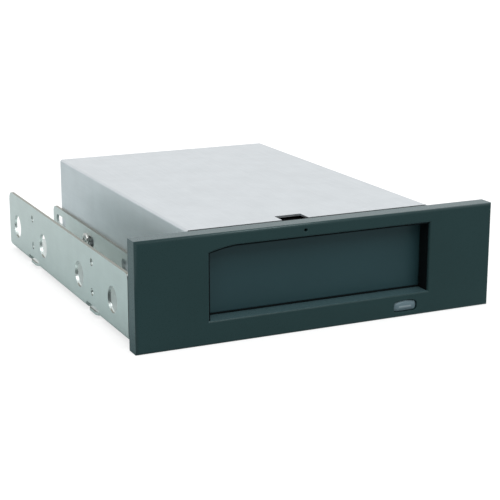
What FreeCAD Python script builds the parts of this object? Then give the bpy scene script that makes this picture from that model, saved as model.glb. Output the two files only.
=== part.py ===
import FreeCAD, Part
import math
import os

from FreeCAD import Vector

# Removable cartridge drive for a wide half-height bay.
# The bezel's front face is at y = 0 while the pieces are drawn, X points to the right as seen
# from the front, Y points to the rear and Z points up. All lengths are millimetres.

# Bezel
bezel_width = 149.0
bezel_height = 41.5
bezel_depth = 7.1
bezel_wall = 2.0
bezel_round = 1.1
collar_wall = 1.6

# Mouth of the cartridge bay, cut through the bezel
mouth_width = 92.5
mouth_height = 27.4
mouth_sill = 9.1
trim_run = 10.9
trim_drop = 2.0

# Pinhole of the emergency release
pinhole_x = -7.5
pinhole_z = 39.0
pinhole_radius = 0.65
pinhole_boss = 1.6

# Tongues moulded on the bezel's back: two under the cover, two that snap into the tray
tongue_x = 30.0
tongue_width = 8.0
tongue_reach = 8.0
tongue_thickness = 1.2
snap_reach = 10.0
snap_rise = 0.8
snap_height = 3.6
nib_length = 4.0
nib_inset = 0.4

# Eject button
button_x = 36.2
button_z = 4.4
button_width = 9.6
button_height = 4.0
button_crown = 0.8
button_corner = 1.2
button_gap = 0.35
button_travel = 0.8
button_flange = 0.8
button_stem = 5.0
button_round = 0.3
stem_height = 2.0
stem_rise = 0.5

# Eject switch and lamp on the main board's front edge
switch_front = 1.0
switch_width = 6.6
switch_length = 4.2
switch_height = 1.9
plunger_radius = 0.7
plunger_rise = 1.0
plunger_show = 1.0
plunger_length = 1.6
lamp_offset = 6.0
lamp_front = 0.5
lamp_side = 1.6
lamp_height = 0.8

# Dust door, hung from its top edge
door_gap = 0.5
door_thickness = 1.6
door_overlap = 0.5
door_side_gap = 0.3
hinge_rise = 0.3
hinge_pin_radius = 0.6
knuckle_radius = 1.2
knuckle_length = 4.0
door_rib = 0.5
door_rib_width = 1.2
door_rib_margin = 3.0
door_rib_places = (-33.0, -22.0, 10.0, 22.0, 33.0)
door_edge = 0.4
door_coil = 3.2
door_coil_turns = 3
door_leg = 6.0

# Fits
running_gap = 0.05
seat_gap = 0.02
slide_gap = 0.3

# Housing: folded cover over a folded tray
housing_width = 101.6
housing_front = 9.8
housing_length = 149.4
housing_base = 0.3
cover_below_bezel = 0.35
cover_sheet = 0.8
cover_bend = 1.0
cover_foot = 0.7
tray_sheet = 1.0
tray_bend = 1.6
tray_flange = 23.0
notch_width = 11.0
notch_depth = 6.7
notch_shift = 0.6
vent_width = 2.4
vent_height = 16.0
vent_pitch = 5.2
vent_count = 8
wall_corner = 2.0

# Side brackets that fill the wide bay
bay_width = 146.05
bracket_sheet = 1.2
bracket_bend = 2.2
bracket_base = 1.4
bracket_front = 11.8
bracket_overhang = 8.4
bracket_height = 25.6
inner_wall_height = 16.9
inner_wall_extra = 1.0
corner_rear_top = 4.0
corner_rear_low = 3.0
corner_front = 2.5

# Mounting holes of the wide bay
mount_radius = 1.5
mount_front = 51.9
mount_pitch = 79.25
side_low = 9.7
side_rise = 11.9
base_span = 139.7
arch_length = 16.5
arch_top = 4.4
lobe_width = 11.0
lobe_corner = 2.5
lobe_reach = 0.4

# Screwdriver holes in the outer wall and adjusting slots in the inner wall
access_radius = 5.15
access_z = 13.0
access_front = 28.5
access_pitch = 38.8
access_rear = 12.5
access_rear_pitch = 39.1
slot_length = 14.0
slot_width = 4.2
slot_shift = 2.0
screw_shift = 3.6
screwed_slots = [0, 2]

# Small screws: shank radius, head radius and head height
bracket_screw = (1.5, 2.8, 1.9)
bracket_screw_length = 5.0
board_screw = (1.0, 2.0, 1.5)
countersunk_screw = (1.5, 2.75, 1.25)

# Cartridge
cartridge_width = 86.5
cartridge_height = 24.0
cartridge_gap = 0.35
mechanism_depth = 38.9

# Moulded bay frame that the cartridge slides into
frame_wall = 1.6
floor_top = 8.2
runner_height = 1.0
runner_width = 2.0
rear_wall = 2.0
rib_height = 1.6
rib_lead = 6.0
ledge_height = 3.0
rib_offset = 5.0
lead_share = 0.7
runner_places = (-38.0, -13.0, 13.0, 38.0)
runner_ramp = 3.0
cheek_slope = 4.0
small_corner = 1.0
headroom = 0.6
post_radius = 3.0
post_front = 30.0
post_back = 10.6
window_length = 24.0
window_margin = 11.0
window_gap = 1.5
window_corner = 2.0
screw_margin = 4.0

# Boards
board_thickness = 1.6
board_width = 80.0
board_front = 16.0
board_back_gap = 1.7
standoff_height = 1.6
standoff_radius = 2.5
standoff_x = 36.0
standoff_front = 8.0
standoff_back = 12.5
sheet_thickness = 0.25
backplane_width = 44.0
backplane_low = 8.0
backplane_high = 27.0
backplane_boss = 1.0
backplane_boss_radius = 2.2
backplane_screw_z = 10.6
backplane_screw_margin = 3.0
plug_width = 35.0
plug_height = 6.0
plug_low = 13.5
plug_reach = 4.0
plug_cavity = 5.0
shell_wall = 1.2
tongue_margin = 3.0
tongue_sheet = 1.2
tongue_back = 0.8
host_width = 34.0
host_height = 7.0
host_depth = 10.4
host_inboard = 8.0
host_cavity = 6.0
host_x = 22.5
can_radius = 3.15
can_height = 5.8
can_pitch = 7.0
can_count = 3
supply_back = 11.0
coil_x = -30.0
coil_side = 6.0
coil_height = 3.2
chip_side = 14.0
chip_height = 1.2
chip_back = 54.0
chip_mark = 1.6
chip_mark_radius = 0.6
chip_mark_depth = 0.2
memory_width = 8.0
memory_length = 6.0
memory_x = 14.0
memory_back = 76.0
flex_width = 10.0
flex_thickness = 0.24
flex_bend = 1.2
socket_width = 12.4
socket_slot = 0.2
socket_upper = 2.4
socket_lower = 3.4
socket_height = 2.0
socket_low = 5.5
socket_tall = 3.0
flex_grip = 1.6

# Ejector: rack slide, two gear steps and a motor
slide_x = -36.0
slide_width = 5.0
slide_height = 2.1
slide_length = 34.9
slide_travel = 12.0
pusher_thickness = 2.0
pusher_low = 27.0
pusher_corner = 1.0
rack_module = 0.6
rack_face = 4.0
pinion_teeth = 12
wheel_module = 0.4
wheel_teeth = 40
wheel_face = 2.5
pinion_face = 3.0
backlash = 0.06
axle_radius = 0.75
hub_radius = 1.3
drive_axle_back = 12.4
reduction_turn = -49.0
motor_turn = -96.0
cheek_thickness = 1.2
cheek_gap = 0.4
motor_length = 25.0
motor_width = 20.4
motor_height = 15.4
shaft_radius = 1.0
strap_thickness = 1.2
hub_step = 1.6
cheek_margin = 5.0
cheek_rear = 17.0
cheek_corner = 2.0
flange_side = 5.6
flange_screw = 2.8
strap_front = 2.6
strap_rear = 2.0
motor_boss_radius = 3.0
motor_boss = 0.8
shaft_end = 1.0
sensor_width = 5.8
sensor_length = 12.8
sensor_height = 6.5
sensor_back = 8.0

# Guide plate over the cartridge, with the release rod and the latch on it
plate_sheet = 0.8
plate_front_gap = 4.9
hook_clearance = 1.5
plate_corner = 2.0
plate_window_x = 27.0
plate_window_width = 18.0
plate_window_length = 30.0
plate_window_corner = 3.0
rod_width = 4.0
rod_thickness = 1.4
rod_travel = 3.0
rod_gap = 0.4
rod_pad_width = 10.0
rod_pad_length = 9.5
clip_front = 6.0
clip_back = 16.4
clip_length = 5.0
clip_sheet = 0.8
clip_roof = 0.4
rod_taper = 3.0
anchor_reach = 11.0
anchor_width = 4.0
anchor_back = 9.7
latch_arm = 15.0
latch_pivot_back = 26.2
latch_reach = 17.6
latch_width = 4.0
latch_bite = 2.0
hook_tip = 1.2
latch_pin_radius = 1.5
latch_head = 1.0
latch_head_height = 0.5
latch_turns = 6
spring_wire = 0.15
spring_radius = 0.9

# Worked out from the sizes above
mouth_half = mouth_width / 2
mouth_top = mouth_sill + mouth_height
cover_top = bezel_height - cover_below_bezel
ceiling = cover_top - cover_sheet
housing_rear = housing_front + housing_length
cartridge_stop = housing_rear - mechanism_depth
cover_inner = housing_width / 2 - cover_sheet
tray_inner = cover_inner - tray_sheet
tray_floor = housing_base + tray_sheet
door_front = bezel_depth + door_gap
door_back = door_front + door_thickness
door_half = mouth_half + door_overlap
door_low = mouth_sill - door_overlap
hinge_y = door_front + door_thickness / 2
hinge_z = mouth_top + hinge_rise
frame_inner = door_half + door_side_gap
frame_outer = frame_inner + frame_wall
door_reach = hinge_z - door_low
swept_back = hinge_y + door_reach + slide_gap
floor_low = floor_top - frame_wall
runner_top = floor_top + runner_height
cartridge_half = cartridge_width / 2 + cartridge_gap
cartridge_top = runner_top + cartridge_height
ledge_low = cartridge_top + headroom
plate_low = ledge_low + ledge_height
plate_top = plate_low + plate_sheet
wall_front = cartridge_stop + pusher_thickness + slide_gap
wall_back = wall_front + rear_wall
plate_front = swept_back + plate_front_gap
latch_pivot_y = wall_front - latch_pivot_back
hook_front = latch_pivot_y + latch_reach - latch_width
plate_back = min(hook_front - hook_clearance, cartridge_stop - slide_travel - slide_gap)
drive_axle_y = wall_back + drive_axle_back
bracket_outer = bay_width / 2
bracket_inner = housing_width / 2
bracket_rear = housing_rear + bracket_overhang
bracket_top = bracket_base + bracket_height
overall_depth = bracket_rear + inner_wall_extra
board_low = tray_floor + standoff_height
board_top = board_low + board_thickness
snap_back = housing_front + snap_reach
snap_low = tray_floor + snap_rise
switch_axis = board_top + plunger_rise
plunger_front = board_front - switch_front - plunger_show
cheek_top = hinge_z + knuckle_radius + frame_wall
board_back = housing_rear - tray_sheet - board_back_gap
backplane_front = wall_back + backplane_boss
backplane_back = backplane_front + board_thickness
rack_radius = rack_module * pinion_teeth / 2
slide_low = ledge_low + 1.4
slide_top = slide_low + slide_height
rack_line = slide_low - 1.25 * rack_module
rack_tip = rack_line - 0.9 * rack_module
drive_axle_z = rack_line - rack_radius - backlash / 2
gear_distance = wheel_module * (wheel_teeth + pinion_teeth) / 2
slide_front = cartridge_stop
slide_back = slide_front + slide_length
rod_low = plate_top + slide_gap
rod_top = rod_low + rod_thickness
rod_front = bezel_depth + rod_gap
rod_back = latch_pivot_y - latch_width / 2 - slide_gap
latch_x = pinhole_x + latch_arm
nothing = 0.001


def place(normal, u, v, w):
    """Point at plane coordinates u, v and at w along the axis that normal names."""
    if normal == "x":
        return Vector(w, u, v)
    if normal == "y":
        return Vector(u, w, v)
    return Vector(u, v, w)


def rounded_corner(before, at, after, radius):
    """Start, middle and end of the arc that rounds one corner, or the bare corner."""
    if radius < nothing:
        return [at]
    back = (before[0] - at[0], before[1] - at[1])
    ahead = (after[0] - at[0], after[1] - at[1])
    back_length = math.hypot(*back)
    ahead_length = math.hypot(*ahead)
    back = (back[0] / back_length, back[1] / back_length)
    ahead = (ahead[0] / ahead_length, ahead[1] / ahead_length)
    half = math.acos(back[0] * ahead[0] + back[1] * ahead[1]) / 2
    reach = radius / math.tan(half)
    inward = (back[0] + ahead[0], back[1] + ahead[1])
    length = math.hypot(*inward)
    depth = radius / math.sin(half) - radius
    start = (at[0] + back[0] * reach, at[1] + back[1] * reach)
    middle = (at[0] + inward[0] / length * depth, at[1] + inward[1] / length * depth)
    end = (at[0] + ahead[0] * reach, at[1] + ahead[1] * reach)
    return [start, middle, end]


def prism(normal, points, low, high, radii=0.0):
    """Solid between low and high along normal, with the outline's corners rounded."""
    count = len(points)
    if not isinstance(radii, list):
        radii = [radii] * count
    corners = []
    for i in range(count):
        corners.append(rounded_corner(points[i - 1], points[i], points[(i + 1) % count], radii[i]))
    edges = []
    for i in range(count):
        at = [place(normal, u, v, low) for u, v in corners[i]]
        if len(at) == 3:
            edges.append(Part.Arc(at[0], at[1], at[2]).toShape())
        following = place(normal, *corners[(i + 1) % count][0], low)
        if following.distanceToPoint(at[-1]) > nothing:
            edges.append(Part.makeLine(at[-1], following))
    face = Part.Face(Part.Wire(edges))
    return face.extrude(place(normal, 0, 0, high - low))


def block(x, y, z):
    """Box from three pairs of limits."""
    size = (x[1] - x[0], y[1] - y[0], z[1] - z[0])
    return Part.makeBox(*size, Vector(x[0], y[0], z[0]))


def centred(middle, width):
    """Pair of limits of a width about its middle."""
    return (middle - width / 2, middle + width / 2)


def panel(normal, u, v, low, high, radii=0.0):
    """Rectangular plate with rounded corners, counted from the low corner round."""
    points = [(u[0], v[0]), (u[1], v[0]), (u[1], v[1]), (u[0], v[1])]
    return prism(normal, points, low, high, radii)


def rod(normal, u, v, radius, low, high):
    """Round bar along the axis that normal names."""
    return Part.makeCylinder(radius, high - low, place(normal, u, v, low), place(normal, 0, 0, 1))


def cone(normal, u, v, radius_low, radius_high, low, high):
    """Frustum along the axis that normal names."""
    base = place(normal, u, v, low)
    return Part.makeCone(radius_low, radius_high, high - low, base, place(normal, 0, 0, 1))


def fused(pieces):
    """One solid from touching pieces, with its split faces joined where that keeps it sound."""
    whole = pieces[0].fuse(pieces[1:])
    joined = whole.removeSplitter()
    return joined if joined.isValid() else whole


def mirrored(shape):
    """Copy on the other side of the middle plane."""
    return shape.mirror(Vector(0, 0, 0), Vector(1, 0, 0))


def rounded_edges(shape, radius, wanted):
    """Shape with the fillet on the edges that wanted accepts."""
    return shape.makeFillet(radius, [edge for edge in shape.Edges if wanted(edge)])


def pan_screw(normal, u, v, seat, direction, size, length):
    """Pan-head screw whose head stands from its seat against direction."""
    shank_radius, head_radius, head_height = size
    base = place(normal, u, v, seat)
    axis = place(normal, 0, 0, direction)
    shank = Part.makeCylinder(shank_radius, length, base, axis)
    head = Part.makeCone(head_radius, head_radius - head_height / 3, head_height, base, axis * -1)
    return head.fuse(shank).removeSplitter()


def helix_spring(normal, u, v, low, high, radius, wire, turns):
    """Coil of six-sided wire about an axis along x, y or z."""
    path = Part.makeHelix((high - low) / turns, high - low, radius)
    corners = [math.radians(60 * i) for i in range(7)]
    points = [Vector(radius + wire * math.cos(a), 0, wire * math.sin(a)) for a in corners]
    section = Part.makePolygon(points)
    coil = Part.Wire(path).makePipeShell([section], True, True)
    turn = {"x": (Vector(0, 1, 0), 90), "y": (Vector(1, 0, 0), -90), "z": (Vector(0, 0, 1), 0)}
    coil.rotate(Vector(0, 0, 0), *turn[normal])
    coil.translate(place(normal, u, v, low))
    return coil


def mouth_outline(grow):
    """Outline of the mouth with its gently trimmed corner, offset outward by grow."""
    left = -mouth_half - grow
    right = mouth_half + grow
    low = mouth_sill - grow
    top = mouth_top + grow
    start = Vector(left, 0, top - trim_drop)
    end = Vector(left + trim_run, 0, top)
    middle = Vector(left + trim_run * 0.48, 0, top - trim_drop * 0.36)
    corners = [end, Vector(right, 0, top), Vector(right, 0, low), Vector(left, 0, low), start]
    edges = [Part.Arc(start, middle, end).toShape()]
    for a, b in zip(corners, corners[1:]):
        edges.append(Part.makeLine(a, b))
    return Part.Face(Part.Wire(edges))


def front_bezel():
    """Hollow moulding with the mouth, the button's aperture and the pinhole."""
    half = bezel_width / 2
    body = block((-half, half), (0, bezel_depth), (0, bezel_height))
    body = rounded_edges(body, bezel_round, lambda edge: edge.BoundBox.YMax < nothing)
    inner = (-half + bezel_wall, half - bezel_wall)
    body = body.cut(block(inner, (bezel_wall, bezel_depth), (bezel_wall, bezel_height - bezel_wall)))
    collar = mouth_outline(collar_wall)
    collar.translate(Vector(0, bezel_wall, 0))
    additions = [collar.extrude(Vector(0, bezel_depth - bezel_wall, 0))]
    sleeve_half = button_width / 2 + button_gap + collar_wall / 2
    sleeve_top = min(button_z + button_height / 2 + button_gap + collar_wall / 2, mouth_sill)
    sleeve_back = bezel_depth - button_flange - button_travel
    sleeve_x = centred(button_x, 2 * sleeve_half)
    additions.append(block(sleeve_x, (bezel_wall, sleeve_back), (bezel_wall, sleeve_top)))
    additions.append(rod("y", pinhole_x, pinhole_z, pinhole_boss, bezel_wall, bezel_depth))
    additions += bezel_tongues()
    body = body.fuse(additions).removeSplitter()
    mouth = mouth_outline(0)
    cuts = [mouth.extrude(Vector(0, bezel_depth, 0))]
    cuts.append(button_aperture())
    cuts.append(rod("y", pinhole_x, pinhole_z, pinhole_radius, 0, bezel_depth))
    return body.cut(cuts)


def button_outline(grow, low, high):
    """Prism of the button's face, which has a slightly crowned top, offset outward by grow."""
    half = button_width / 2 + grow
    bottom = button_z - button_height / 2 - grow
    shoulder = button_z + button_height / 2 - button_crown + grow
    start = Vector(button_x - half, low, shoulder)
    middle = Vector(button_x, low, shoulder + button_crown)
    end = Vector(button_x + half, low, shoulder)
    corners = [end, Vector(button_x + half, low, bottom), Vector(button_x - half, low, bottom), start]
    edges = [Part.Arc(start, middle, end).toShape()]
    for a, b in zip(corners, corners[1:]):
        edges.append(Part.makeLine(a, b))
    solid = Part.Face(Part.Wire(edges)).extrude(Vector(0, high - low, 0))
    return rounded_edges(solid, button_corner + grow, lambda edge: edge.BoundBox.YLength > high - low - nothing)


def button_aperture():
    """Hole that the button slides in."""
    return button_outline(button_gap, 0, bezel_depth)


def bezel_tongues():
    """Two locating tongues under the cover and two snap tongues inside the tray."""
    tongues = []
    top = ceiling - slide_gap / 2
    for side in (-1, 1):
        tongue = block(centred(side * tongue_x, tongue_width), (bezel_wall, housing_front + tongue_reach),
                       (top - tongue_thickness, top))
        outer = tray_inner - slide_gap / 2
        limits = sorted((side * (outer - frame_wall), side * outer))
        arm = block(limits, (bezel_wall, snap_back), (snap_low, snap_low + snap_height))
        nib_x = side * outer
        nib_end = side * (outer + slide_gap / 2 + tray_sheet - nib_inset)
        nib_front = snap_back - nib_length
        nib_outline = [(nib_x, nib_front), (nib_end, nib_front), (nib_x, snap_back)]
        nib = prism("z", nib_outline, snap_low + nib_inset, snap_low + snap_height - nib_inset)
        tongues += [tongue, arm, nib]
    return tongues


def eject_button():
    """Push button with its flange behind the bezel and a stem to the switch."""
    flange_front = bezel_depth - button_flange - button_travel
    cap = button_outline(0, 0.0, flange_front)
    cap = rounded_edges(cap, button_round, lambda edge: edge.BoundBox.YMax < nothing)
    flange_half = button_width / 2 + 2 * button_gap
    flange_low = button_z - button_height / 2
    flange_high = button_z + button_height / 2 + 2 * button_gap
    flange = block(centred(button_x, 2 * flange_half), (flange_front, flange_front + button_flange),
                   (flange_low, flange_high))
    stem_top = switch_axis + stem_rise
    stem = block(centred(button_x, button_stem), (flange_front, plunger_front),
                 (stem_top - stem_height, stem_top))
    return fused([cap, flange, stem])


def switch_plunger():
    """Plunger of the eject switch."""
    return rod("y", button_x, switch_axis, plunger_radius, plunger_front, plunger_front + plunger_length)


def eject_switch():
    """Low switch on the main board's front edge, with the bore of its plunger."""
    front = board_front - switch_front
    body = block(centred(button_x, switch_width), (front, front + switch_length),
                 (board_top, board_top + switch_height))
    bore_back = plunger_front + plunger_length + button_travel + slide_gap
    return body.cut(rod("y", button_x, switch_axis, plunger_radius + running_gap, front, bore_back))


def button_led():
    """Lamp that lights the button from behind."""
    front = board_front + lamp_front
    return block(centred(button_x - lamp_offset, lamp_side), (front, front + lamp_side),
                 (board_top, board_top + lamp_height))


def dust_door():
    """Flap with a round top edge, end knuckles, stiffening ribs and a notch for its spring."""
    leaf = block((-door_half, door_half), (door_front, door_back), (door_low, hinge_z))
    leaf = rounded_edges(leaf, door_edge, lambda edge: edge.BoundBox.ZMax < door_low + nothing)
    pieces = [leaf, rod("x", hinge_y, hinge_z, door_thickness / 2, -door_half, door_half)]
    for x in (-door_half, door_half - knuckle_length):
        pieces.append(rod("x", hinge_y, hinge_z, knuckle_radius, x, x + knuckle_length))
    for x in door_rib_places:
        rib = block(centred(x, door_rib_width), (door_back, door_back + door_rib),
                    (door_low + door_rib_margin, hinge_z - door_rib_margin))
        pieces.append(rib)
    door = fused(pieces)
    bore = hinge_pin_radius + running_gap
    door = door.cut(rod("x", hinge_y, hinge_z, bore, -door_half - 1, -door_half + knuckle_length + 1))
    door = door.cut(rod("x", hinge_y, hinge_z, bore, door_half - knuckle_length - 1, door_half + 1))
    notch_left = -door_half + knuckle_length
    coil = spring_radius + spring_wire + slide_gap
    notch = block((notch_left, notch_left + door_coil + 2 * slide_gap),
                  (door_front - 1, door_back + 1), (hinge_z - coil, hinge_z + coil))
    return door.cut(notch)


def door_hinge_pins():
    """Two stub pins; the left one also carries the spring."""
    left_end = -door_half + knuckle_length + door_coil + slide_gap
    left = rod("x", hinge_y, hinge_z, hinge_pin_radius, -frame_outer, left_end)
    right = rod("x", hinge_y, hinge_z, hinge_pin_radius, door_half - knuckle_length, frame_outer)
    return Part.makeCompound([left, right])


def door_spring():
    """Torsion spring about the left pin, with one leg on the door and one under the cover."""
    low = -door_half + knuckle_length + slide_gap
    high = low + door_coil - slide_gap
    coil = helix_spring("x", hinge_y, hinge_z, low, high, spring_radius, spring_wire, door_coil_turns)
    pitch = (high - low) / door_coil_turns
    leg_y = door_back + spring_wire + seat_gap
    down = rod("z", low + pitch / 4, leg_y, spring_wire, hinge_z - door_leg, hinge_z)
    up = rod("z", high - pitch * 3 / 4, leg_y, spring_wire, hinge_z, ceiling - slide_gap)
    return fused([coil, down, up])


def top_cover():
    """Folded sheet: a top and two sides, with the release notch in its front edge."""
    half = housing_width / 2
    side = cover_inner
    outer = [(-half, cover_foot), (-half, cover_top), (half, cover_top), (half, cover_foot)]
    inner = [(-side, cover_foot), (-side, ceiling), (side, ceiling), (side, cover_foot)]
    shell = prism("y", outer, housing_front, housing_rear, [0, cover_bend, cover_bend, 0])
    inside_bend = max(cover_bend - cover_sheet, 0.2)
    shell = shell.cut(prism("y", inner, housing_front, housing_rear, [0, inside_bend, inside_bend, 0]))
    notch_x = centred(pinhole_x + notch_shift, notch_width)
    cuts = [block(notch_x, (housing_front, housing_front + notch_depth), (ceiling, cover_top))]
    for y in bracket_screw_fronts():
        clear = bracket_screw[0] + slide_gap / 2
        cuts.append(rod("x", y, access_z, clear, -half, half))
    return shell.cut(cuts)


def access_places():
    """Distances of the screwdriver holes from the bezel's front face, two from each end."""
    last = bracket_rear - access_rear
    return [access_front, access_front + access_pitch, last - access_rear_pitch, last]


def bracket_screw_fronts():
    """Distances of the bracket screws from the bezel's front face."""
    return [access_places()[i] + screw_shift for i in screwed_slots]


def bottom_tray():
    """Folded sheet: a floor, two side flanges and a rear wall with vents and a connector window."""
    top = housing_base + tray_flange
    low = housing_base
    outer = [(-cover_inner, top), (-cover_inner, low), (cover_inner, low), (cover_inner, top)]
    inner = [(-tray_inner, top), (-tray_inner, tray_floor), (tray_inner, tray_floor), (tray_inner, top)]
    inside_bend = tray_bend - tray_sheet
    shell = prism("y", outer, housing_front, housing_rear, [0, tray_bend, tray_bend, 0])
    shell = shell.cut(prism("y", inner, housing_front, housing_rear, [0, inside_bend, inside_bend, 0]))
    wall_half = tray_inner - slide_gap
    wall_y = (housing_rear - tray_sheet, housing_rear)
    wall_top = ceiling - slide_gap / 2
    wall = panel("y", (-wall_half, wall_half), (housing_base + tray_sheet / 2, wall_top), *wall_y,
                 [0, 0, wall_corner, wall_corner])
    host_window = block(centred(host_x, host_width + 2 * slide_gap), wall_y,
                        (board_top - slide_gap, board_top + host_height + slide_gap))
    cuts = [host_window]
    for i in range(vent_count):
        x = slide_x + i * vent_pitch
        middle = (board_top + wall_top) / 2
        cuts.append(block(centred(x, vent_width), wall_y, centred(middle, vent_height)))
    wall = wall.cut(cuts)
    tray = fused([shell, wall])
    for y in bracket_screw_fronts():
        tray = tray.cut(rod("x", y, access_z, bracket_screw[0] + seat_gap, -cover_inner, cover_inner))
    snap_y = (snap_back - nib_length - slide_gap / 2, snap_back + slide_gap)
    tray = tray.cut(block((-cover_inner, cover_inner), snap_y, (snap_low, snap_low + snap_height)))
    shank, head, depth = countersunk_screw
    for x, y in post_places():
        tray = tray.cut(cone("z", x, y, head + 0.1, head + 0.1 - depth, housing_base, housing_base + depth))
        tray = tray.cut(rod("z", x, y, shank + 0.1, housing_base, tray_floor))
    return tray


def post_places():
    """Centres of the four screw posts under the bay frame."""
    x = frame_inner - post_radius + frame_wall / 2
    return [(side * x, y) for y in (post_front, wall_front - post_back) for side in (-1, 1)]


def bracket_section():
    """Section of the bracket: a channel open at its top, as an outer and an inner prism."""
    low = bracket_base
    top = bracket_top
    out_x = -bracket_outer
    in_x = -bracket_inner
    outer = [(out_x, top), (out_x, low), (in_x, low), (in_x, top)]
    t = bracket_sheet
    inner = [(out_x + t, top), (out_x + t, low + t), (in_x - t, low + t), (in_x - t, top)]
    solid = prism("y", outer, bracket_front, overall_depth, [0, bracket_bend, bracket_bend, 0])
    hollow_bend = bracket_bend - t
    return solid.cut(prism("y", inner, bracket_front, overall_depth, [0, hollow_bend, hollow_bend, 0]))


def left_bracket():
    """Channel bracket with screwdriver holes, adjusting slots, mounting holes and base lobes."""
    channel = bracket_section()
    middle = -(bracket_outer + bracket_inner) / 2
    outer_side = panel("x", (bracket_front, bracket_rear), (bracket_base, bracket_top), -bracket_outer,
                       middle, [corner_front, corner_rear_low, corner_rear_top, corner_front])
    inner_top = bracket_base + inner_wall_height
    inner_side = panel("x", (bracket_front, overall_depth), (bracket_base, inner_top), middle,
                       -bracket_inner, [corner_front, corner_rear_low, corner_rear_low, corner_front])
    channel = fused([channel.common(outer_side), channel.common(inner_side)])
    wall = (-bracket_outer, -bracket_outer + bracket_sheet)
    cuts = []
    for y in access_places():
        cuts.append(rod("x", y, access_z, access_radius, *wall))
        slot_y = centred(y + slot_shift, slot_length)
        cuts.append(panel("x", slot_y, centred(access_z, slot_width), -bracket_inner - bracket_sheet,
                          -bracket_inner, slot_width / 2 - nothing))
    arch_inner = -bracket_outer + bracket_bend
    for y in mount_fronts():
        for z in (side_low, side_low + side_rise):
            cuts.append(rod("x", y, z, mount_radius, *wall))
        cuts.append(panel("x", centred(y, arch_length), (0, arch_top), -bracket_outer, arch_inner,
                          [0, 0, lobe_corner, lobe_corner]))
    channel = channel.cut(cuts)
    lobes = []
    for y in mount_fronts():
        lobe = panel("z", (-bracket_outer, arch_inner + lobe_reach), centred(y, lobe_width), bracket_base,
                     bracket_base + bracket_sheet, [lobe_corner, 0, 0, lobe_corner])
        lobes.append(lobe)
    channel = channel.fuse(lobes).removeSplitter()
    holes = [rod("z", -base_span / 2, y, mount_radius, 0, arch_top) for y in mount_fronts()]
    return channel.cut(holes)


def mount_fronts():
    """Distances of the mounting holes from the bezel's front face."""
    return [mount_front, mount_front + mount_pitch]


def right_bracket():
    """Mirror image of the left bracket."""
    return mirrored(left_bracket())


def bracket_screws_left():
    """Screws that clamp the bracket, the cover's side and the tray's flange."""
    seat = -bracket_inner - bracket_sheet
    screws = []
    for y in bracket_screw_fronts():
        screws.append(pan_screw("x", y, access_z, seat, 1, bracket_screw, bracket_screw_length))
    return Part.makeCompound(screws)


def bracket_screws_right():
    """Mirror image of the left bracket screws."""
    return mirrored(bracket_screws_left())


def frame_side(side):
    """One side wall of the bay frame with its cheek, guide ribs, ledge and windows."""
    inner = side * frame_inner
    outer = side * frame_outer
    x = sorted((inner, outer))
    foot_front = snap_back + nib_length
    foot = tray_floor + tray_bend - tray_sheet + slide_gap
    outline = [(bezel_depth, floor_low), (foot_front, floor_low), (foot_front, foot), (wall_back, foot),
               (wall_back, plate_low), (swept_back, plate_low), (swept_back - cheek_slope, cheek_top),
               (bezel_depth, cheek_top)]
    wall = prism("x", outline, *x, [cheek_corner, 0, 0, 0, 0, 0, cheek_corner, cheek_corner])
    guide = side * cartridge_half
    lead = side * (cartridge_half + (frame_inner - cartridge_half) * lead_share)
    guide_outline = [(inner, swept_back), (lead, swept_back), (guide, swept_back + rib_lead),
                     (guide, wall_front), (inner, wall_front)]
    additions = [prism("z", guide_outline, ledge_low, plate_low)]
    for z in (runner_top + rib_offset, cartridge_top - rib_offset - rib_height):
        additions.append(prism("z", guide_outline, z, z + rib_height))
    wall = fused([wall] + additions)
    cuts = [rod("x", hinge_y, hinge_z, hinge_pin_radius + seat_gap, *x)]
    low = runner_top + rib_offset + rib_height + window_gap
    high = cartridge_top - rib_offset - rib_height - window_gap
    for y in (swept_back + window_margin, wall_front - window_margin * 2 - window_length):
        cuts.append(panel("x", (y, y + window_length), (low, high), *x, window_corner))
    tip = sorted((inner - side * slide_gap, outer))
    for y in bracket_screw_fronts():
        cuts.append(rod("x", y, access_z, bracket_screw[0] + slide_gap, *tip))
    for y in plate_screw_fronts():
        cuts.append(rod("z", side * plate_screw_x(), y, board_screw[0] + seat_gap, ledge_low, plate_low))
    return wall.cut(cuts)


def plate_screw_x():
    """Distance of the guide plate's screws from the middle."""
    return (cartridge_half + frame_inner) / 2


def plate_screw_fronts():
    """Distances of the guide plate's screws from the bezel's front face."""
    return [swept_back + rib_lead + screw_margin, plate_back - screw_margin]


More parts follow.
